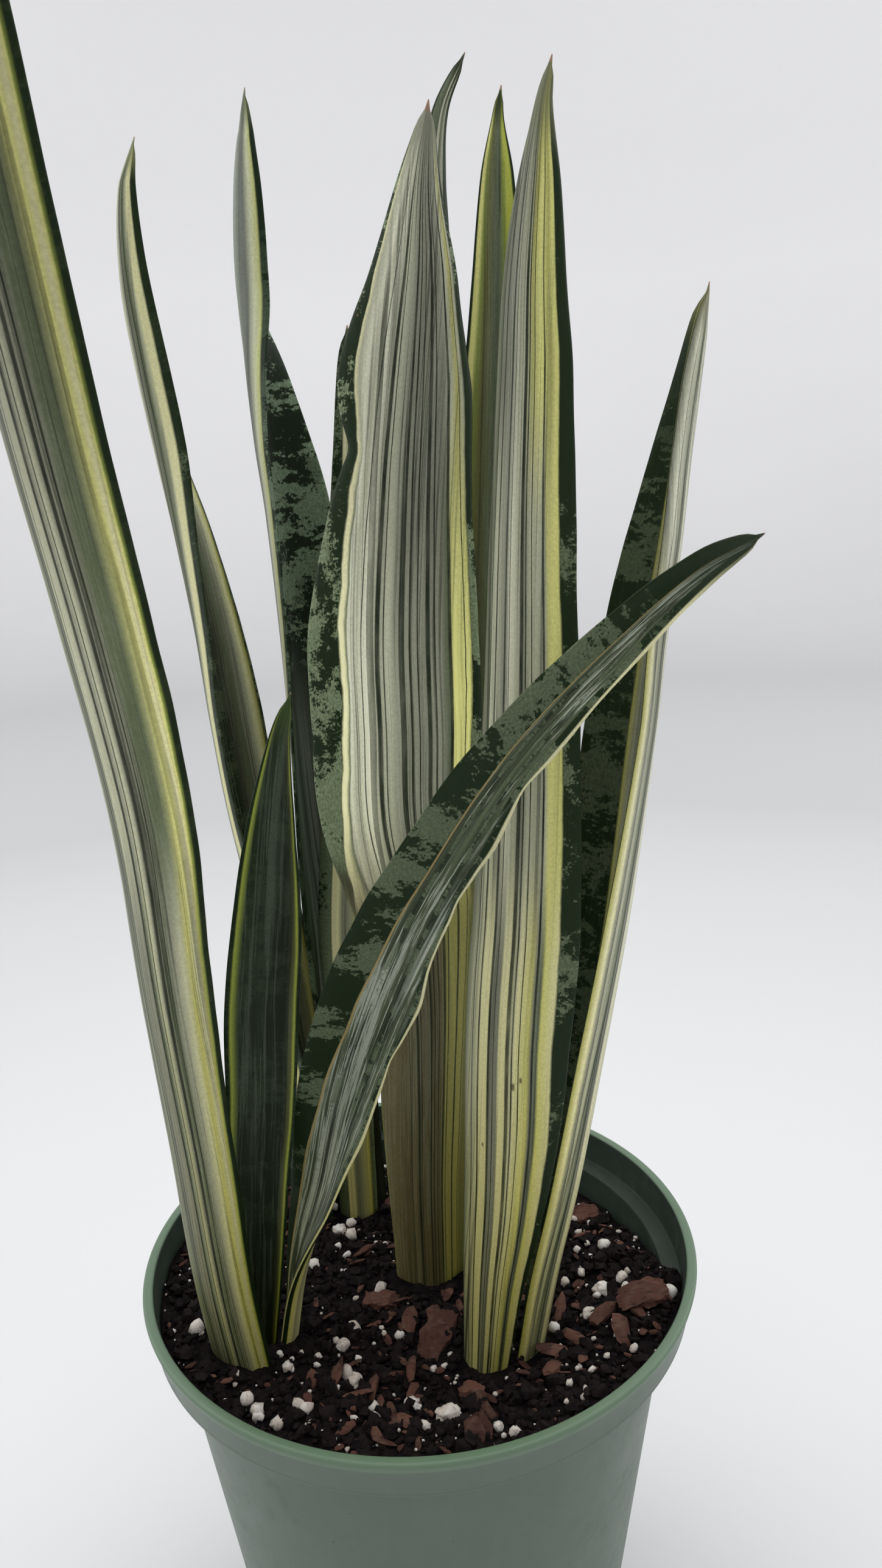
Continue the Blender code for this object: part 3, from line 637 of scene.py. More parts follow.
# How each leaf differs from the usual: margin waves (depth in millimetres), how sharp its midrib
# crease is, how far its bands wander, how strongly light patches, cross bands and pale streaks
# show, and the length of its dry tip.
USUAL = {
    "waves": 0.4, "crease": 0.45, "wander": 0.012, "patches": 0.6, "cover": 0.0, "crossbands": 0.4,
    "streaks": 0.15, "lean": 0.0, "dry": 1.2, "glow": 1.0, "tint": (1.0, 1.0, 1.0), "tip": (14, SAGE),
    "mottle": 1.0, "steady": False}
HABITS = {
    "leaf_front_left_tall": {"patches": 0.0, "lean": 0.05, "glow": 1.62, "tint": (0.82, 0.81, 0.77)},
    "leaf_front_left_small": {"waves": 0.3, "patches": 0.0, "crossbands": 0.12, "dry": 0.5,
                              "tint": (0.8, 0.85, 0.8), "tip": (16, (0.045, 0.075, 0.02))},
    "leaf_leaning_right": {"waves": 0.9, "crease": 0.13, "patches": 0.0, "crossbands": 0.95,
                           "streaks": 1.0, "dry": 0.5, "tip": (30, DEEP), "mottle": 0.9},
    "leaf_back_left_outer": {"tint": (0.92, 0.93, 0.86), "tip": (14, (0.20, 0.22, 0.09))},
    "leaf_back_left_inner": {"crossbands": 1.0, "dry": 0.8, "tint": (0.78, 0.83, 0.93), "mottle": 1.9},
    "leaf_back_small": {"patches": 1.0, "cover": 0.24, "tip": (10, GREEN)},
    "leaf_centre_broad": {"waves": 0.5, "patches": 1.0, "cover": 0.10, "steady": True, "crossbands": 0.0,
                          "dry": 3.4, "glow": 1.75, "tip": (20, GREY), "mottle": 1.6},
    "leaf_centre_back": {"patches": 0.0, "crossbands": 0.0, "dry": 1.6, "tip": (13, GREEN)},
    "leaf_back_curved": {"dry": 0.8, "tip": (10, GREEN)},
    "leaf_front_right_tall": {"patches": 0.9, "cover": -0.008, "crossbands": 0.0, "dry": 2.0,
                              "tint": (0.94, 0.94, 0.92), "tip": (26, (0.16, 0.17, 0.09))},
    "leaf_right_folded": {"crease": 0.3, "crossbands": 0.7, "patches": 0.7, "cover": 0.02, "glow": 1.2,
                          "tip": (16, OLIVE), "mottle": 0.75},
}

# Dents (negative) and bulges of a margin: leaf, share of the length, side, depth in millimetres, reach.
MARGIN_MARKS = {
    "leaf_centre_broad": [
        (0.745, -1, -1.3, 0.018), (0.79, -1, 0.5, 0.018), (0.67, -1, -0.4, 0.02), (0.18, -1, 1.5, 0.07)],
    "leaf_back_left_inner": [(0.27, 1, 5.8, 0.19)],
    "leaf_back_small": [(0.18, -1, -2.2, 0.10)],
    "leaf_leaning_right": [
        (0.27, -1, 2.0, 0.05), (0.38, -1, -0.9, 0.02), (0.46, -1, 1.2, 0.03), (0.58, -1, -1.0, 0.02),
        (0.64, -1, 0.9, 0.02), (0.70, -1, -1.2, 0.02)],
}


def link(name, mesh, finish, replaced=()):
    """Puts a finished mesh in the scene as a piece that rides with the pot."""
    piece = bpy.data.objects.new(name, mesh)
    bpy.context.scene.collection.objects.link(piece)
    mesh.materials.append(finish.material)
    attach(piece, ROOT)
    if replaced:
        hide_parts(*replaced)
    return piece


def to_mesh(name, bm, sharp_angle=None):
    mesh = bpy.data.meshes.new(name)
    bm.to_mesh(mesh)
    bm.free()
    mesh.shade_smooth()
    if sharp_angle:
        mesh.set_sharp_from_angle(angle=math.radians(sharp_angle))
    return mesh


def smooth_step(t):
    t = min(max(t, 0.0), 1.0)
    return t * t * (3 - 2 * t)


# ---------------------------------------------------------------- leaves


def between(rows, s):
    """Catmull-Rom value at s (0 to 1) through rows spaced by their own distance along the leaf."""
    points = [Vector((row[1], row[2], row[0])) for row in rows]
    marks = [0.0]
    for a, b in zip(points, points[1:]):
        marks.append(marks[-1] + (b - a).length)
    target = s * marks[-1]
    i = 0
    while i < len(rows) - 2 and target > marks[i + 1]:
        i += 1
    span = marks[i + 1] - marks[i]
    t = (target - marks[i]) / span
    before = rows[max(i - 1, 0)]
    after = rows[min(i + 2, len(rows) - 1)]
    gap_before = marks[i + 1] - marks[max(i - 1, 0)]
    gap_after = marks[min(i + 2, len(rows) - 1)] - marks[i]
    values = []
    for k in range(len(rows[0])):
        p0, p1 = rows[i][k], rows[i + 1][k]
        m0 = (p1 - before[k]) / gap_before * span
        m1 = (after[k] - p0) / gap_after * span
        values.append((2 * t ** 3 - 3 * t ** 2 + 1) * p0 + (t ** 3 - 2 * t ** 2 + t) * m0
                      + (3 * t ** 2 - 2 * t ** 3) * p1 + (t ** 3 - t ** 2) * m1)
    return values


def leaf_length(rows):
    return sum((Vector(b[:3]) - Vector(a[:3])).length for a, b in zip(rows, rows[1:])) * MM


def leaf_frame(rows, s):
    """Midrib point, along, inner-face and across directions, width and fold at s."""
    height, x, y, width, facing, fold = between(rows, s)
    ahead = between(rows, min(s + 0.01, 1.0))
    behind = between(rows, max(s - 0.01, 0.0))
    along = Vector((ahead[1] - behind[1], ahead[2] - behind[2], ahead[0] - behind[0])).normalized()
    look = Vector((math.cos(math.radians(facing)), math.sin(math.radians(facing)), 0.0))
    inner = (look - along * look.dot(along)).normalized()
    midrib = Vector((x, y, height)) * MM + Vector((0.0, 0.0, SOIL_Z))
    return midrib, along, inner, inner.cross(along), width * MM, math.radians(fold)


def margin_offset(name, s, side, length, depth):
    """How far the margin waves in or out of its smooth line at s, in metres."""
    seed = 3.7 * list(LEAVES).index(name) + 11 * side
    wave = noise.noise(Vector((s * length / LONG_WAVE, seed, 0.0)))
    wave += 0.4 * noise.noise(Vector((s * length / SHORT_WAVE, seed, 5.0)))
    offset = depth * MM * wave
    for place, marked_side, deep, reach in MARGIN_MARKS.get(name, []):
        if marked_side == side:
            offset += deep * MM * math.exp(-((s - place) / reach) ** 2)
    return offset


def knots_at(name, s):
    """Where the leaf's two reference lines lie across the blade at s."""
    rows = BANDS.get(name, {}).get("knots", PLAIN_KNOTS)[2]
    s = min(max(s, 0.0), 1.0)
    for before, after in zip(rows, rows[1:]):
        if s <= after[0]:
            t = smooth_step((s - before[0]) / (after[0] - before[0]))
            return before[1] + (after[1] - before[1]) * t, before[2] + (after[2] - before[2]) * t
    return rows[-1][1:]


def undented_rows(name):
    """The leaf's stations as they would be without a dent in its margin."""
    rows = []
    for row in LEAVES[name]:
        x, width = UNDENTED.get(name, {}).get(row[0], (row[1], row[3]))
        rows.append((row[0], x, row[2], width, *row[4:]))
    return rows


def leaf_mesh(name):
    """One blade with its channel, waved margins and drawn-out tip; the finish reads its attributes."""
    rows = LEAVES[name]
    straight_rows = undented_rows(name)
    habit = {**USUAL, **HABITS.get(name, {})}
    length = leaf_length(rows)
    soft = habit["crease"]
    rings = round(length / RING_SPACING)
    bm = bmesh.new()
    bmesh.ops.create_cone(bm, cap_ends=True, segments=LEAF_SEGMENTS, radius1=1.0, radius2=1.0, depth=1.0)
    uprights = [e for e in bm.edges if abs(e.verts[0].co.z - e.verts[1].co.z) > 0.5]
    bmesh.ops.subdivide_edges(bm, edges=uprights, cuts=rings, use_grid_fill=True)
    names = ("across", "span", "along", "face", "first", "second")
    layers = {key: bm.verts.layers.float.new(key) for key in names}
    root = ROOT_DEPTH / length
    stations = {}
    for v in bm.verts:
        share = round(v.co.z + 0.5, 6)
        if share not in stations:
            s = -root + (1.0 + root) * share ** RING_CROWDING
            waves = habit["waves"] * smooth_step(s / MARGIN_SOFTNESS)
            waves *= smooth_step((1.0 - s) / MARGIN_SOFTNESS)
            edges = {side: margin_offset(name, s, side, length, waves) for side in (-1, 1)}
            frame_here = leaf_frame(rows, max(s, 0.0))
            straight = leaf_frame(straight_rows, max(s, 0.0))
            shift = (frame_here[0] - straight[0]).dot(frame_here[3]) / math.cos(frame_here[5])
            stations[share] = (s, frame_here, edges, knots_at(name, s), shift, 0.5 * straight[4])
        s, here, edges, (first, second), shift, straight_half = stations[share]
        middle, along, inner, across, width, fold = here
        plain_half = 0.5 * width
        angle = math.atan2(v.co.y, v.co.x)
        u = math.cos(angle)
        side = math.copysign(abs(math.sin(angle)) ** SECTION_POWER, math.sin(angle))
        if s < 0:
            middle = middle + along * (s * length)
        drawn_out = min(1.0, (1.0 - s) * length / TIP_POINT) ** TIP_CURVE
        width = max(width, LEAF_TIP_WIDTH) * (TIP_SHARE + (1.0 - TIP_SHARE) * drawn_out)
        thickness = min(LEAF_THICKNESS, 0.30 * width + 0.15 * MM)
        standoff = min(0.5 * LEAF_THICKNESS, 0.175 * width + 0.2 * MM)
        half = 0.5 * width + (edges[1] if u > 0 else edges[-1]) * abs(u) ** 3
        rise = (math.sqrt(u * u + soft * soft) - soft) / (math.sqrt(1 + soft * soft) - soft)
        sideways = half * u * math.cos(fold)
        inward = half * math.sin(fold) * rise + standoff + 0.5 * thickness * side
        v.co = middle + across * sideways + inner * inward
        v[layers["across"]] = (shift + u * plain_half) / straight_half
        v[layers["span"]] = shift + u * half
        v[layers["along"]] = s * length
        v[layers["face"]] = side
        v[layers["first"]] = 0.5 + 0.5 * (shift + (2 * first - 1) * plain_half) / straight_half
        v[layers["second"]] = 0.5 + 0.5 * (shift + (2 * second - 1) * plain_half) / straight_half
    return to_mesh(name, bm)


def banded(finish, place, bands):
    """Colour and fine-line strength of one face of a blade at place, 0 to 1 across it."""
    colour = finish.ramp(place, [band[:2] for band in bands])
    ramp = colour.output.node.color_ramp
    for element, band in zip(ramp.elements, bands):
        element.alpha = band[2]
    return colour, Wire(finish, colour.output.node.outputs["Alpha"])


def overlaid(finish, place, base, bands, share):
    """A face's colour and lines with another band table laid over them by share."""
    colour, lines = banded(finish, place, bands)
    return finish.mix(share, base[0], colour), base[1] + (lines - base[1]) * share


def band_place(finish, name, height, blade):
    """Place across the blade on its band tables: the two reference lines are brought to theirs."""
    low, high = BANDS.get(name, {}).get("knots", PLAIN_KNOTS)[:2]
    seed = 5.1 * list(LEAVES).index(name)
    habit = {**USUAL, **HABITS.get(name, {})}
    across = finish.attribute("across") * 0.5 + 0.5
    swell = finish.noise(finish.vector(seed, blade[1] * 45.0, 3.0), 1.0, 3.0) - 0.5
    other_swell = finish.noise(finish.vector(seed, blade[1] * 38.0, 8.0), 1.0, 3.0) - 0.5
    frayed = finish.weave(blade, 420.0, 160.0, seed, 3.0, 0.65) - 0.5
    first = finish.attribute("first")
    second = finish.attribute("second")
    near_first = abs(across - first).step(0.09, 0.02)
    near_second = abs(across - second).step(0.09, 0.02)
    spot = across + frayed * (finish.most(near_first, near_second) * 0.009 + 0.003)
    spot = spot - swell * 0.35 * first * near_first - other_swell * 0.02 * near_second
    margin = finish.least(spot, first) * low / first
    if habit["steady"]:
        nudge = (low - first) * (spot - first).step(0.16, 0.0)
        nudge = nudge + (high - second) * (second - spot).step(0.16, 0.0)
        middle = finish.most(finish.least(spot + nudge, high) - low, 0.0)
    else:
        middle = finish.most(finish.least(spot, second) - first, 0.0) * (high - low) / (second - first)
    far_margin = finish.most(spot - second, 0.0) * (1.0 - high) / (1.0 - second)
    wander = finish.weave(blade, 14.0, 6.0, seed, 1.0) - 0.5
    rim = abs(across - 0.5).step(0.25, 0.38)
    drift = (wander * habit["wander"] + (height - 0.5) * habit["lean"]) * (1.0 - rim)
    return (margin + middle + far_margin + drift).clamp()


def leaf_finish(name):
    """Bands across the blade, fine lines along it, patches and cross bands on its dark parts."""
    habit = {**USUAL, **HABITS.get(name, {})}
    bands = BANDS.get(name, {})
    length = leaf_length(LEAVES[name])
    seed = 7.3 * list(LEAVES).index(name)
    finish = Finish(name + "_skin", specular_level=0.13)
    along = finish.attribute("along")
    blade = (finish.attribute("span"), along)
    height = along / length
    is_inner = finish.attribute("face").step(-0.04, 0.04)

    place = band_place(finish, name, height, blade)
    outer = banded(finish, place, bands.get("outer", OUTER_PLAIN))
    if "foot" in bands:
        outer = overlaid(finish, place, outer, bands["foot"], height.step(*FOOT_FADE))
    if "top" in bands:
        outer = overlaid(finish, place, outer, bands["top"], height.step(*TOP_FADE))
    inner = banded(finish, place, bands.get("inner", INNER_PLAIN))
    shaded = 0.0
    if "inner_foot" in bands:
        shaded = height.step(*INNER_FOOT_FADE)
        inner = overlaid(finish, place, inner, bands["inner_foot"], shaded)
    plain = finish.mix(is_inner, outer[0], inner[0])
    lined = outer[1] + (inner[1] - outer[1]) * is_inner
    light = finish.node("ShaderNodeRGBToBW", {}, {"Color": plain})

    tone = finish.weave(blade, 330.0, 4.0, seed + 0.5, 2.0, 0.6)
    level = tone.step(0.34, 0.64) * lined * 0.42 + 1.0 - lined * 0.23
    colour = finish.shade(plain, level)
    broad = finish.weave(blade, 130.0, 22.0, seed + 0.9, 3.0, 0.6)
    streak = finish.weave(blade, 1300.0, 24.0, seed + 0.8, 4.0, 0.75)
    streaked = (streak + broad * 0.5).step(0.755, 0.81)
    colour = finish.mix(lined * streaked * habit["streaks"], colour, STREAK)
    fine = finish.weave(blade, 900.0, 3.6, seed + 1.0, 3.0, 0.75)
    bold = finish.weave(blade, 420.0, 3.0, seed + 2.0, 1.5, 0.5)
    broken = finish.weave(blade, 500.0, 60.0, seed + 3.0, 3.0, 0.7)
    fine_lines = fine.step(0.53, 0.60) * (broken * 0.9 + 0.2)
    bold_lines = bold.step(0.61, 0.65) * (broken * 0.7 + 0.5)
    colour = finish.mix((lined * fine_lines).clamp(), colour, LINE)
    colour = finish.mix((lined * bold_lines).clamp(), colour, LINE)
    for spot, half_width in bands.get("strokes", []):
        stroke = abs(place - spot).step(half_width, half_width * 0.5) * (1.0 - is_inner)
        colour = finish.mix((stroke * (broken * 0.8 + 0.5)).clamp(), colour, LINE)

    dark = light.step(0.075, 0.035)
    grit = finish.weave(blade, 1900.0, 1300.0, seed + 4.5, 2.0, 0.7)
    cloud = finish.weave(blade, 300.0, 330.0, seed + 4.0, 6.0, 0.8)
    cover = finish.weave(blade, 90.0, 45.0, seed + 5.0, 2.0)
    high_up = height.step(0.66, 0.80) * 0.14
    patches = (cloud * 0.8 + cover * 0.9 + grit * 0.25 + habit["cover"] - high_up).step(1.04, 1.09)
    feather = finish.weave(blade, 700.0, 900.0, seed + 6.5, 3.0, 0.7)
    band_wave = finish.weave(blade, 55.0, 110.0, seed + 6.0, 4.0, 0.7)
    crossbands = (band_wave + feather * 0.30 + grit * 0.1).step(0.700, 0.735) * habit["crossbands"]
    crossbands = crossbands * (is_inner * 0.8 + 0.2) * height.step(0.12, 0.3) * height.step(0.93, 0.82)
    crossbands = crossbands * (1.0 - shaded * 0.8)
    mottled = finish.most(patches * habit["patches"], crossbands) * (grit * 1.2 + 0.2)
    mottle = tuple(channel * habit["mottle"] for channel in MOTTLE)
    colour = finish.mix(mottled.clamp() * dark, colour, mottle)

    glow = height.step(0.74, 0.52) * light.step(0.05, 0.16) * (habit["glow"] - 1.0) + 1.0
    colour = finish.shade(colour, glow)
    # painted shade: the lower third of every blade is darkened towards olive; partly the base's own olive
    # tone, partly painted shade near the mix and the pot
    colour = finish.mix(height.step(0.34, 0.0) * 0.85, colour, (0.66, 0.63, 0.42), "MULTIPLY")
    yellowed = height.step(0.55, 0.1) * light.step(0.12, 0.45)
    colour = finish.mix(yellowed * 0.6, colour, (0.98, 0.94, 0.62), "MULTIPLY")
    colour = finish.mix(1.0, colour, habit["tint"], "MULTIPLY")
    freckle = finish.weave(blade, 700.0, 500.0, seed + 7.0, 1.0)
    colour = finish.mix(freckle.step(0.80, 0.84) * 0.5, colour, DRY)
    for share, spot, reach, half_width in bands.get("scars", []):
        ragged = (broken - 0.5) * reach
        mark = abs(height + ragged - share).step(reach, reach * 0.4)
        mark = mark * abs(place - spot).step(half_width * 1.4, half_width * 0.6)
        colour = finish.mix(mark * 0.8, colour, (0.06, 0.03, 0.012))
    colour = finish.shade(colour, grit * 0.6 + 0.7)
    tip_length, tip_colour = habit["tip"]
    near_tip = along.step(length - tip_length * MM, length - 0.3 * tip_length * MM)
    colour = finish.mix(near_tip * 0.75, colour, tip_colour)
    tip = along.step(length - habit["dry"] * MM, length - 0.6 * habit["dry"] * MM)
    colour = finish.mix(tip, colour, DRY)

    sheen = finish.weave(blade, 90.0, 30.0, seed + 8.0, 3.0)
    ribs = finish.weave(blade, 1100.0, 12.0, seed + 9.0, 2.0)
    return finish.dressed(colour, sheen * 0.22 + 0.33 + tip * 0.3, ribs * 0.7 + grit * 0.3, 0.5, 0.3 * MM)


def build_leaves():
    for name in LEAVES:
        link(name + "_blade", leaf_mesh(name), leaf_finish(name), [name])


# ---------------------------------------------------------------- pot


def body_radius(z):
    return FOOT_RADIUS + BODY_TAPER * z


def band_inner_radius(z):
    lip_inner = RIM_RADIUS - LIP_WIDTH
    step_inner = BAND_RADIUS - WALL
    return step_inner + (lip_inner - step_inner) * (z - STEP_Z) / BAND_HEIGHT


def arc(centre, radius, start, end, steps):
    """Points on an arc in the profile's plane, angles in degrees, 0 pointing outwards and 90 up."""
    points = []
    for i in range(steps + 1):
        angle = math.radians(start + (end - start) * i / steps)
        points.append((centre[0] + radius * math.cos(angle), centre[1] + radius * math.sin(angle)))
    return points


def turned(name, profile, steps, sharp_angle=None):
    """A profile turned about Z: a closed solid if it starts and ends on the axis."""
    bm = bmesh.new()
    verts = [bm.verts.new((r, 0.0, z)) for r, z in profile]
    edges = [bm.edges.new(pair) for pair in zip(verts, verts[1:])]
    bmesh.ops.spin(bm, geom=verts + edges, cent=(0, 0, 0), axis=(0, 0, 1), angle=2 * math.pi,
                   steps=steps, use_merge=True)
    bmesh.ops.remove_doubles(bm, verts=bm.verts[:], dist=0.00001)
    bmesh.ops.recalc_face_normals(bm, faces=bm.faces[:])
    return to_mesh(name, bm, sharp_angle)


def pot_profile():
    top = POT_HEIGHT
    shelf = STEP_Z + WALL
    inner_top = body_radius(shelf) - WALL
    floor_in = body_radius(FLOOR_THICKNESS + FOOT_ROUND) - WALL
    lip_in = RIM_RADIUS - LIP_WIDTH
    profile = [(0.0, FLOOR_THICKNESS)]
    profile += arc((floor_in - FOOT_ROUND, FLOOR_THICKNESS + FOOT_ROUND), FOOT_ROUND, -90, -8, 4)
    profile += [(body_radius(z) - WALL, z) for z in (0.03, 0.07, 0.11)]
    profile += arc((inner_top + SHELF_ROUND, shelf - SHELF_ROUND), SHELF_ROUND, 180, 90, 3)
    profile += arc((band_inner_radius(shelf) - SHELF_ROUND, shelf + SHELF_ROUND), SHELF_ROUND, -90, -5, 3)
    profile += arc((lip_in + LIP_ROLL, top - LIP_ROLL), LIP_ROLL, 175, 90, 5)
    profile += arc((RIM_RADIUS - LIP_ROLL, top - LIP_ROLL), LIP_ROLL, 90, -10, 6)
    profile += [(RIM_RADIUS - 0.25 * MM, top - 2.1 * MM)]
    profile += arc((RIM_RADIUS - 1.5 * MM, top - 3.0 * MM), BEAD, 0, -20, 2)
    profile += [(BAND_RADIUS + 1.2 * MM, top - 6.0 * MM), (BAND_RADIUS + 0.4 * MM, STEP_Z + 1.4 * MM)]
    profile += arc((BAND_RADIUS - 0.35 * MM, STEP_Z + 0.6 * MM), BEAD, 20, -70, 4)
    profile += [(BODY_TOP_RADIUS + 1.2 * MM, STEP_Z)]
    profile += arc((BODY_TOP_RADIUS + 1.0 * MM, STEP_Z - NECK_ROUND), NECK_ROUND, 95, 180, 4)
    profile += [(body_radius(share * STEP_Z), share * STEP_Z) for share in (0.8, 0.6, 0.4, 0.2)]
    profile += arc((FOOT_RADIUS - FOOT_ROUND, FOOT_ROUND), FOOT_ROUND, 0, -90, 5)
    profile += [(FOOT_RADIUS - FOOT_RING, 0.0), (FOOT_RADIUS - FOOT_RING - 1.0 * MM, FOOT_RECESS)]
    profile += [(0.0, FOOT_RECESS)]
    return profile


def pot_finish():
    finish = Finish("pot_green", specular_level=0.6)
    spot = finish.place()
    z = finish.axis(spot, "Z")
    x = finish.axis(spot, "X")
    y = finish.axis(spot, "Y")
    radius = finish.length(finish.vector(x, y, 0.0))
    lip = z.step(POT_HEIGHT - 3.4 * MM, POT_HEIGHT - 2.4 * MM)
    body_limit = z * BODY_TAPER + FOOT_RADIUS - 0.5 * WALL
    band_slope = (RIM_RADIUS - LIP_WIDTH - BAND_RADIUS + WALL) / BAND_HEIGHT
    band_limit = (z - STEP_Z) * band_slope + BAND_RADIUS - 0.7 * WALL
    above = z.step(STEP_Z + 0.5 * WALL, STEP_Z + 0.7 * WALL)
    shaded_inside = (body_limit + (band_limit - body_limit) * above - radius).step(0.0, 0.3 * MM)
    cloud = finish.noise(spot, 28.0, 3.0)
    streak = finish.noise(finish.stretch(spot, (420.0, 420.0, 14.0)), 1.0, 3.0)
    speck = finish.noise(spot, 620.0, 2.0).step(0.735, 0.76) * finish.noise(spot, 35.0, 1.0).step(0.5, 0.6)
    dust = finish.noise(spot, 140.0, 5.0, 0.7).step(0.5, 0.75) * finish.noise(spot, 18.0, 2.0)
    colour = finish.mix(cloud, (0.073, 0.113, 0.080), (0.089, 0.131, 0.096))
    colour = finish.mix(streak.step(0.45, 0.75) * 0.15, colour, (0.11, 0.15, 0.12))
    # painted highlight: the top of the rolled lip is painted a lighter, greener tone of the same plastic,
    # where the light from above falls on it
    colour = finish.mix(lip * 0.7, colour, (0.112, 0.190, 0.108))
    # painted shade: the pot's inner wall is painted near-black green to stand in for the shade inside the
    # pot; it is the same plastic as the outside
    colour = finish.mix(shaded_inside, colour, (0.007, 0.020, 0.009))
    colour = finish.mix(dust * 0.25, colour, (0.16, 0.18, 0.16))
    colour = finish.mix(speck * 0.9, colour, (0.018, 0.016, 0.012))
    scuff = finish.noise(spot, 60.0, 6.0, 0.75)
    roughness = scuff * 0.25 + 0.30 + dust * 0.3 + shaded_inside * 0.3
    grain = finish.noise(spot, 1800.0, 2.0)
    return finish.dressed(colour, roughness, grain * 0.5 + streak * 0.5, 0.25, 0.1 * MM)


def build_pot():
    shell = turned("pot_shell", pot_profile(), POT_STEPS, 35)
    pot = link("pot_shell", shell, pot_finish(), ["pot"])
    bm = bmesh.new()
    ring = DRAIN_RING * FOOT_RADIUS
    for i in range(DRAIN_COUNT):
        angle = 2 * math.pi * (i + 0.5) / DRAIN_COUNT
        spot = Matrix.Translation((ring * math.cos(angle), ring * math.sin(angle), 0.0))
        bmesh.ops.create_cone(bm, cap_ends=True, segments=40, radius1=DRAIN_RADIUS, radius2=DRAIN_RADIUS,
                              depth=6 * FLOOR_THICKNESS, matrix=spot)
    cutter = bpy.data.objects.new("drain_cutter", to_mesh("drain_cutter", bm))
    bpy.context.scene.collection.objects.link(cutter)
    holes = pot.modifiers.new("drain_holes", "BOOLEAN")
    holes.operation = "DIFFERENCE"
    holes.solver = "EXACT"
    holes.object = cutter
    graph = bpy.context.evaluated_depsgraph_get()
    drilled = bpy.data.meshes.new_from_object(pot.evaluated_get(graph))
    pot.modifiers.clear()
    pot.data = drilled
    bpy.data.objects.remove(cutter, do_unlink=True)


# ---------------------------------------------------------------- potting mix


def soil_height(x, y):
    """The mix is low in the middle, rises to the rim round the front and stays low at the back."""
    inward = SHELF_EDGE / max(math.hypot(x, y), SHELF_EDGE)
    x, y = x * inward, y * inward
    edge = smooth_step((math.hypot(x, y) / RIM_RADIUS - 0.45) / 0.47)
    back = smooth_step(((0.35 * x + 0.94 * y) / RIM_RADIUS - 0.10) / 0.5)
    bumps = noise.noise(Vector((x * 85, y * 85, 4.0))) + 0.5 * noise.noise(Vector((x * 190, y * 190, 9.0)))
    return SOIL_Z + SOIL_RISE * edge * (1 - back) - 1.0 * MM * back + 1.0 * MM * bumps


def crumbly(x, y):
    """Small lumps on the mix's surface."""
    lumps = noise.noise(Vector((x * 300, y * 300, 1.0))) * 1.1
    lumps += noise.noise(Vector((x * 800, y * 800, 2.0))) * 0.5
    return lumps * MM


def soil_reach(angle):
    """How far out the mix lies in this direction: to the band's wall over its shelf, or to the body's."""
    shelf = STEP_Z + WALL
    wide = band_inner_radius(shelf) - GAP
    z = soil_height(wide * math.cos(angle), wide * math.sin(angle))
    narrow = body_radius(min(z, shelf)) - WALL - GAP
    return narrow + (wide - narrow) * smooth_step((z - shelf - 0.2 * MM) / (1.2 * MM))


def build_soil():
    """A turned block whose top rings are spread to the pot's wall and lifted to the mix's surface."""
    top = [(i / SOIL_RINGS, 1.0) for i in range(SOIL_RINGS + 1)]
    bottom = [(1.0, 0.6), (1.0, 0.3), (1.0, 0.0), (0.0, 0.0)]
    mesh = turned("potting_mix", top + bottom, SOIL_STEPS)
    low = FLOOR_THICKNESS + GAP
    for v in mesh.vertices:
        x, y, level = v.co
        share = math.hypot(x, y)
        angle = math.atan2(y, x)
        reach = soil_reach(angle)
        if level > 0.99:
            r = share * reach
            px, py = r * math.cos(angle), r * math.sin(angle)
            v.co = (px, py, soil_height(px, py) + crumbly(px, py))
        else:
            edge_z = soil_height(reach * math.cos(angle), reach * math.sin(angle))
            z = low + (min(edge_z, STEP_Z) - 2 * MM - low) * level / 0.6
            r = share * (body_radius(z + FOOT_ROUND) - WALL - 2 * GAP)
            v.co = (r * math.cos(angle), r * math.sin(angle), z)
    return link("potting_mix", mesh, mix_finish(), ["soil"])


def mix_finish():
    finish = Finish("peat", specular_level=0.08)
    spot = finish.place()
    cloud = finish.noise(spot, 160.0, 5.0, 0.7)
    fine = finish.noise(spot, 900.0, 4.0, 0.7)
    colour = finish.mix(cloud.step(0.35, 0.7), (0.003, 0.002, 0.0025), (0.012, 0.008, 0.008))
    colour = finish.mix(fine.step(0.55, 0.75) * 0.5, colour, (0.035, 0.024, 0.022))
    return finish.dressed(colour, fine * 0.4 + 0.6, cloud * 0.6 + fine * 0.4, 0.9, 1.2 * MM)


def peat_finish():
    finish = Finish("peat_crumb", specular_level=0.12)
    spot = finish.place()
    tint = finish.cell_tint(spot, 420.0, "X")
    fine = finish.noise(spot, 1600.0, 4.0, 0.7)
    colour = finish.mix(tint, (0.004, 0.0025, 0.003), (0.014, 0.0085, 0.0085))
    colour = finish.mix(fine.step(0.5, 0.8) * 0.5, colour, (0.040, 0.027, 0.025))
    return finish.dressed(colour, fine * 0.35 + 0.62, fine, 0.8, 0.5 * MM)


def perlite_finish():
    finish = Finish("perlite_grain", specular_level=0.3)
    spot = finish.place()
    pits = finish.noise(spot, 1500.0, 5.0, 0.75)
    tint = finish.cell_tint(spot, 190.0, "Y")
    stain = finish.noise(spot, 420.0, 4.0, 0.7).step(0.50, 0.68)
    colour = finish.mix(tint, (0.80, 0.77, 0.72), (0.60, 0.52, 0.45))
    colour = finish.mix(stain * 0.55, colour, (0.20, 0.13, 0.11))
    colour = finish.mix(pits.step(0.40, 0.28) * 0.7, colour, (0.12, 0.085, 0.075))
    return finish.dressed(colour, pits * 0.2 + 0.75, pits, 0.8, 0.4 * MM)


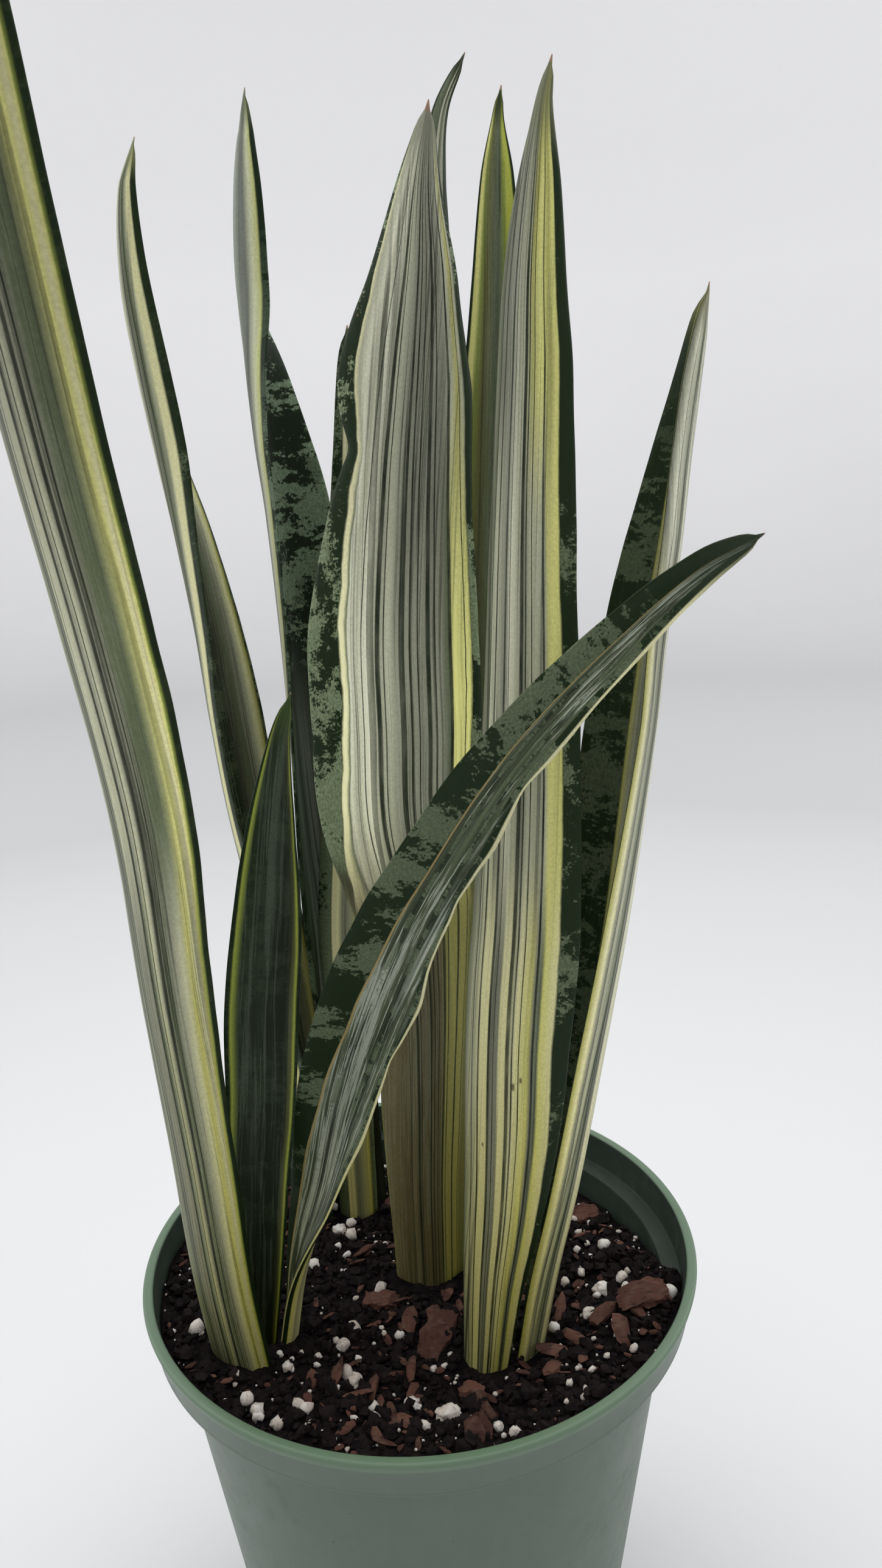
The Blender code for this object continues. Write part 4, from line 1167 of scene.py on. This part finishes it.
def bark_finish():
    finish = Finish("bark_chip", specular_level=0.15)
    spot = finish.place()
    tint = finish.cell_tint(spot, 75.0, "X")
    fibre = finish.noise(finish.stretch(spot, (300.0, 1100.0, 700.0)), 1.0, 5.0, 0.7)
    patch = finish.noise(spot, 230.0, 4.0, 0.65)
    colour = finish.mix(tint, (0.045, 0.018, 0.014), (0.125, 0.056, 0.039))
    colour = finish.mix(patch.step(0.45, 0.7) * 0.5, colour, (0.13, 0.085, 0.062))
    colour = finish.mix(fibre.step(0.5, 0.3) * 0.7, colour, (0.010, 0.005, 0.0045))
    return finish.dressed(colour, patch * 0.3 + 0.65, fibre * 0.7 + patch * 0.3, 0.8, 0.6 * MM)


def leaf_feet():
    """Where each leaf meets the mix: middle, across and half width, for keeping loose grains off it."""
    feet = []
    for rows in LEAVES.values():
        middle, _, inner, across, width, fold = leaf_frame(rows, FOOT_SHARE)
        feet.append((middle, across, inner, 0.5 * width * math.cos(fold)))
    return feet


def is_clear(x, y, size, feet):
    for middle, across, inner, half in feet:
        offset = Vector((x - middle.x, y - middle.y, 0.0))
        beside = abs(offset.dot(across)) < half + 0.4 * size
        if beside and -1.5 * MM < offset.dot(inner) < 5 * MM + 0.4 * size:
            return False
    return True


def scatter(dice, feet, count, low, high, outwards):
    """Spots on the mix with a size each, small ones commoner, none under a leaf."""
    spots = []
    while len(spots) < count:
        angle = dice.uniform(0, 2 * math.pi)
        size = low * MM + (high * MM - low * MM) * dice.random() ** 2.2
        r = (soil_reach(angle) - 0.6 * size) * dice.random() ** (0.5 - 0.2 * outwards)
        x, y = r * math.cos(angle), r * math.sin(angle)
        if is_clear(x, y, size, feet):
            spots.append((x, y, size))
    return spots


def small_shape(rounded):
    """Corner points and faces of a loose piece of unit size: a 20-sided lump or a 24-sided clod."""
    bm = bmesh.new()
    if rounded:
        bmesh.ops.create_cube(bm, size=1.0)
        bmesh.ops.subdivide_edges(bm, edges=bm.edges[:], cuts=1, use_grid_fill=True)
        for v in bm.verts:
            v.co = v.co.normalized() * 0.5
    else:
        bmesh.ops.create_icosphere(bm, subdivisions=1, radius=0.5)
    bm.verts.index_update()
    shape = ([v.co.copy() for v in bm.verts], [[v.index for v in f.verts] for f in bm.faces])
    bm.free()
    return shape


def add_piece(bm, shape, spot, turn, size, rough, dice):
    """One loose piece: the shape stretched, turned, made uneven and set down."""
    points, faces = shape
    seed = Vector((dice.uniform(0, 50), dice.uniform(0, 50), 0.0))
    made = []
    for point in points:
        out = turn @ point
        made.append(bm.verts.new(spot + out * size * (1 + 1.6 * rough * noise.noise(point * 3.2 + seed))))
    for face in faces:
        bm.faces.new([made[i] for i in face])


def grain(bm, dice, x, y, size, shape, flat, proud, rough):
    """One lumpy grain, part sunk in the mix."""
    turn = Matrix.Rotation(dice.uniform(0, 6.28), 3, "Z")
    turn = turn @ Matrix.Rotation(dice.uniform(-0.5, 0.5), 3, "X")
    turn = turn @ Matrix.Diagonal((1.0, dice.uniform(0.65, 0.95), flat * dice.uniform(0.8, 1.1)))
    spot = Vector((x, y, soil_height(x, y) + crumbly(x, y) + proud * size))
    add_piece(bm, shape, spot, turn, size, rough, dice)


def flake(bm, dice, x, y, size, shape):
    """One thin splinter of bark lying on the mix."""
    turn = Matrix.Rotation(dice.uniform(0, 6.28), 3, "Z")
    turn = turn @ Matrix.Rotation(dice.uniform(-0.35, 0.35), 3, "Y")
    turn = turn @ Matrix.Rotation(dice.uniform(-0.6, 0.6), 3, "X")
    turn = turn @ Matrix.Diagonal((1.0, dice.uniform(0.25, 0.55), dice.uniform(0.12, 0.22)))
    spot = Vector((x, y, soil_height(x, y) + 0.14 * size + 0.3 * MM))
    add_piece(bm, shape, spot, turn, size, 0.3, dice)


def centred(name, mesh):
    """Moves a chip's or grain's mesh so that its middle is where the part's own middle is."""
    low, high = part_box(name)
    points = [v.co for v in mesh.vertices]
    middle = [(min(p[i] for p in points) + max(p[i] for p in points)) / 2 for i in range(3)]
    mesh.transform(Matrix.Translation((Vector(low) + Vector(high)) / 2 - Vector(middle)))
    return mesh


def chip_mesh(name, row, number):
    """A split, slightly bent chip with uneven edges and a fibrous face."""
    x, y, length, width, thickness, heading, roll, slope, proud = row
    bm = bmesh.new()
    bmesh.ops.create_cube(bm, size=1.0)
    for axis, cuts in enumerate(CHIP_CUTS):
        edges = [e for e in bm.edges if abs(e.verts[0].co[axis] - e.verts[1].co[axis]) > 0.5]
        bmesh.ops.subdivide_edges(bm, edges=edges, cuts=cuts, use_grid_fill=True)
    seed = 2.7 * number
    for v in bm.verts:
        a, b, c = v.co
        broad = noise.noise(Vector((a * 3 + seed, b * 2, c * 0.5)))
        torn = noise.noise(Vector((a * 9 + seed, b * 7, c * 2.0)))
        fibre = noise.noise(Vector((a * 4 + seed, b * 26, c * 3.0)))
        v.co.x = a * length * (1 - 0.16 * abs(b) + 0.10 * broad + 0.10 * torn)
        v.co.y = b * width * (1 - 0.225 * (2 * a) ** 2 + 0.25 * broad + 0.18 * torn)
        v.co.z = c * thickness * (1 - 0.35 * abs(2 * a) - 0.15 * abs(2 * b) + 0.3 * fibre)
        v.co.z += 0.05 * length * (1 - (2 * a) ** 2) + 0.12 * thickness * broad
    height = soil_height(x * MM, y * MM) / MM + proud
    turn = Matrix.Scale(MM, 4) @ Matrix.Translation((x, y, height))
    for angle, axis in ((heading, "Z"), (-slope, "Y"), (roll, "X")):
        turn = turn @ Matrix.Rotation(math.radians(angle), 4, axis)
    bmesh.ops.transform(bm, matrix=turn, verts=bm.verts)
    return to_mesh(name, bm, 60)


def big_grain_mesh(name, row):
    """A puffed, pitted perlite grain."""
    x, y, length, width, height, heading, seed = row
    bm = bmesh.new()
    bmesh.ops.create_icosphere(bm, subdivisions=4, radius=0.5)
    for v in bm.verts:
        lump = 1 + 0.28 * noise.noise(v.co * 3.2 + Vector((seed, 0, 0)))
        lump += 0.12 * noise.noise(v.co * 8.0 + Vector((seed, 3, 0))) + 0.05 * noise.noise(v.co * 19.0)
        v.co = Vector((v.co.x * length, v.co.y * width, v.co.z * height)) * lump
    spot = Matrix.Translation((x, y, soil_height(x * MM, y * MM) / MM + 0.22 * height))
    turn = Matrix.Rotation(math.radians(heading), 4, "Z")
    bmesh.ops.transform(bm, matrix=Matrix.Scale(MM, 4) @ spot @ turn, verts=bm.verts)
    return to_mesh(name, bm)


def strew(name, batches, dice, feet, finish, sharp_angle=None):
    """One piece made of all the bits of one kind."""
    shapes = {"crumb": small_shape(False), "clod": small_shape(True)}
    bm = bmesh.new()
    for count, low, high, outwards, shape, *lie in batches:
        for x, y, size in scatter(dice, feet, count, low, high, outwards):
            if lie:
                grain(bm, dice, x, y, size, shapes[shape], *lie)
            else:
                flake(bm, dice, x, y, size, shapes[shape])
    link(name, to_mesh(name, bm, sharp_angle), finish)


def build_mix():
    build_soil()
    feet = leaf_feet()
    dice = random.Random(7)
    peat, perlite, bark = peat_finish(), perlite_finish(), bark_finish()
    for number, (name, row) in enumerate(BARK.items()):
        link(name + "_chip", centred(name, chip_mesh(name, row, number)), bark, [name])
    for name, row in PERLITE.items():
        link(name + "_grain", centred(name, big_grain_mesh(name, row)), perlite, [name])
    strew("peat_crumbs", PEAT_CRUMBS, dice, feet, peat)
    strew("peat_lumps", PEAT_LUMPS, dice, feet, peat, 38)
    strew("perlite_bits", PERLITE_BITS, dice, feet, perlite)
    strew("bark_bits", BARK_BITS, dice, feet, bark, 50)


# ---------------------------------------------------------------- stage, light and camera


def build_stage():
    """A pale floor that sweeps up all round, far from the pot."""
    profile = [(0.0, 0.0), (1.2, 0.0), (FLOOR_REACH, 0.0)]
    profile += arc((FLOOR_REACH, SWEEP_RADIUS), SWEEP_RADIUS, -90, 0, 14)
    profile += [(FLOOR_REACH + SWEEP_RADIUS, 2 * SWEEP_RADIUS)]
    floor = bpy.data.objects.new("floor", turned("floor", profile, 96))
    bpy.context.scene.collection.objects.link(floor)
    finish = Finish("pale_floor", roughness=0.9)
    away = finish.length(finish.place()) / TONE_REACH
    tone = finish.noise(finish.place(), 2.0, 2.0) * 0.04
    # painted light and shade: the floor's tone falls and rises again with distance from the middle
    finish.dressed(finish.ramp(away + tone, FLOOR_SHADING))
    floor.data.materials.append(finish.material)


def softbox(name, spot, target, size, power):
    light = bpy.data.lights.new(name, "AREA")
    light.shape = "RECTANGLE"
    light.size, light.size_y = size
    light.energy = power
    lamp = bpy.data.objects.new(name, light)
    bpy.context.scene.collection.objects.link(lamp)
    lamp.location = spot
    lamp.rotation_euler = (Vector(target) - Vector(spot)).to_track_quat("-Z", "Y").to_euler()


def build_light():
    world = bpy.data.worlds.new("studio")
    world.use_nodes = True
    world.node_tree.nodes["Background"].inputs["Color"].default_value = (1.0, 1.0, 1.0, 1.0)
    world.node_tree.nodes["Background"].inputs["Strength"].default_value = 0.5
    bpy.context.scene.world = world
    for name, row in SOFTBOXES.items():
        softbox(name, *row)
    bpy.context.scene.view_settings.view_transform = "Standard"


def build_camera():
    pitch, yaw, roll = (math.radians(a) for a in (CAMERA_PITCH, CAMERA_YAW, CAMERA_ROLL))
    turn = Matrix.Rotation(yaw, 4, "Z") @ Matrix.Rotation(math.pi / 2 + pitch, 4, "X")
    turn = turn @ Matrix.Rotation(roll, 4, "Z")
    data = bpy.data.cameras.new("camera")
    data.lens = CAMERA_LENS
    data.sensor_width = 36.0
    data.sensor_fit = "AUTO"
    data.clip_start = 0.01
    camera = bpy.data.objects.new("camera", data)
    bpy.context.scene.collection.objects.link(camera)
    camera.matrix_world = Matrix.Translation(CAMERA_SPOT) @ turn
    bpy.context.scene.camera = camera


build_camera()
build_stage()
build_light()
build_pot()
build_mix()
build_leaves()
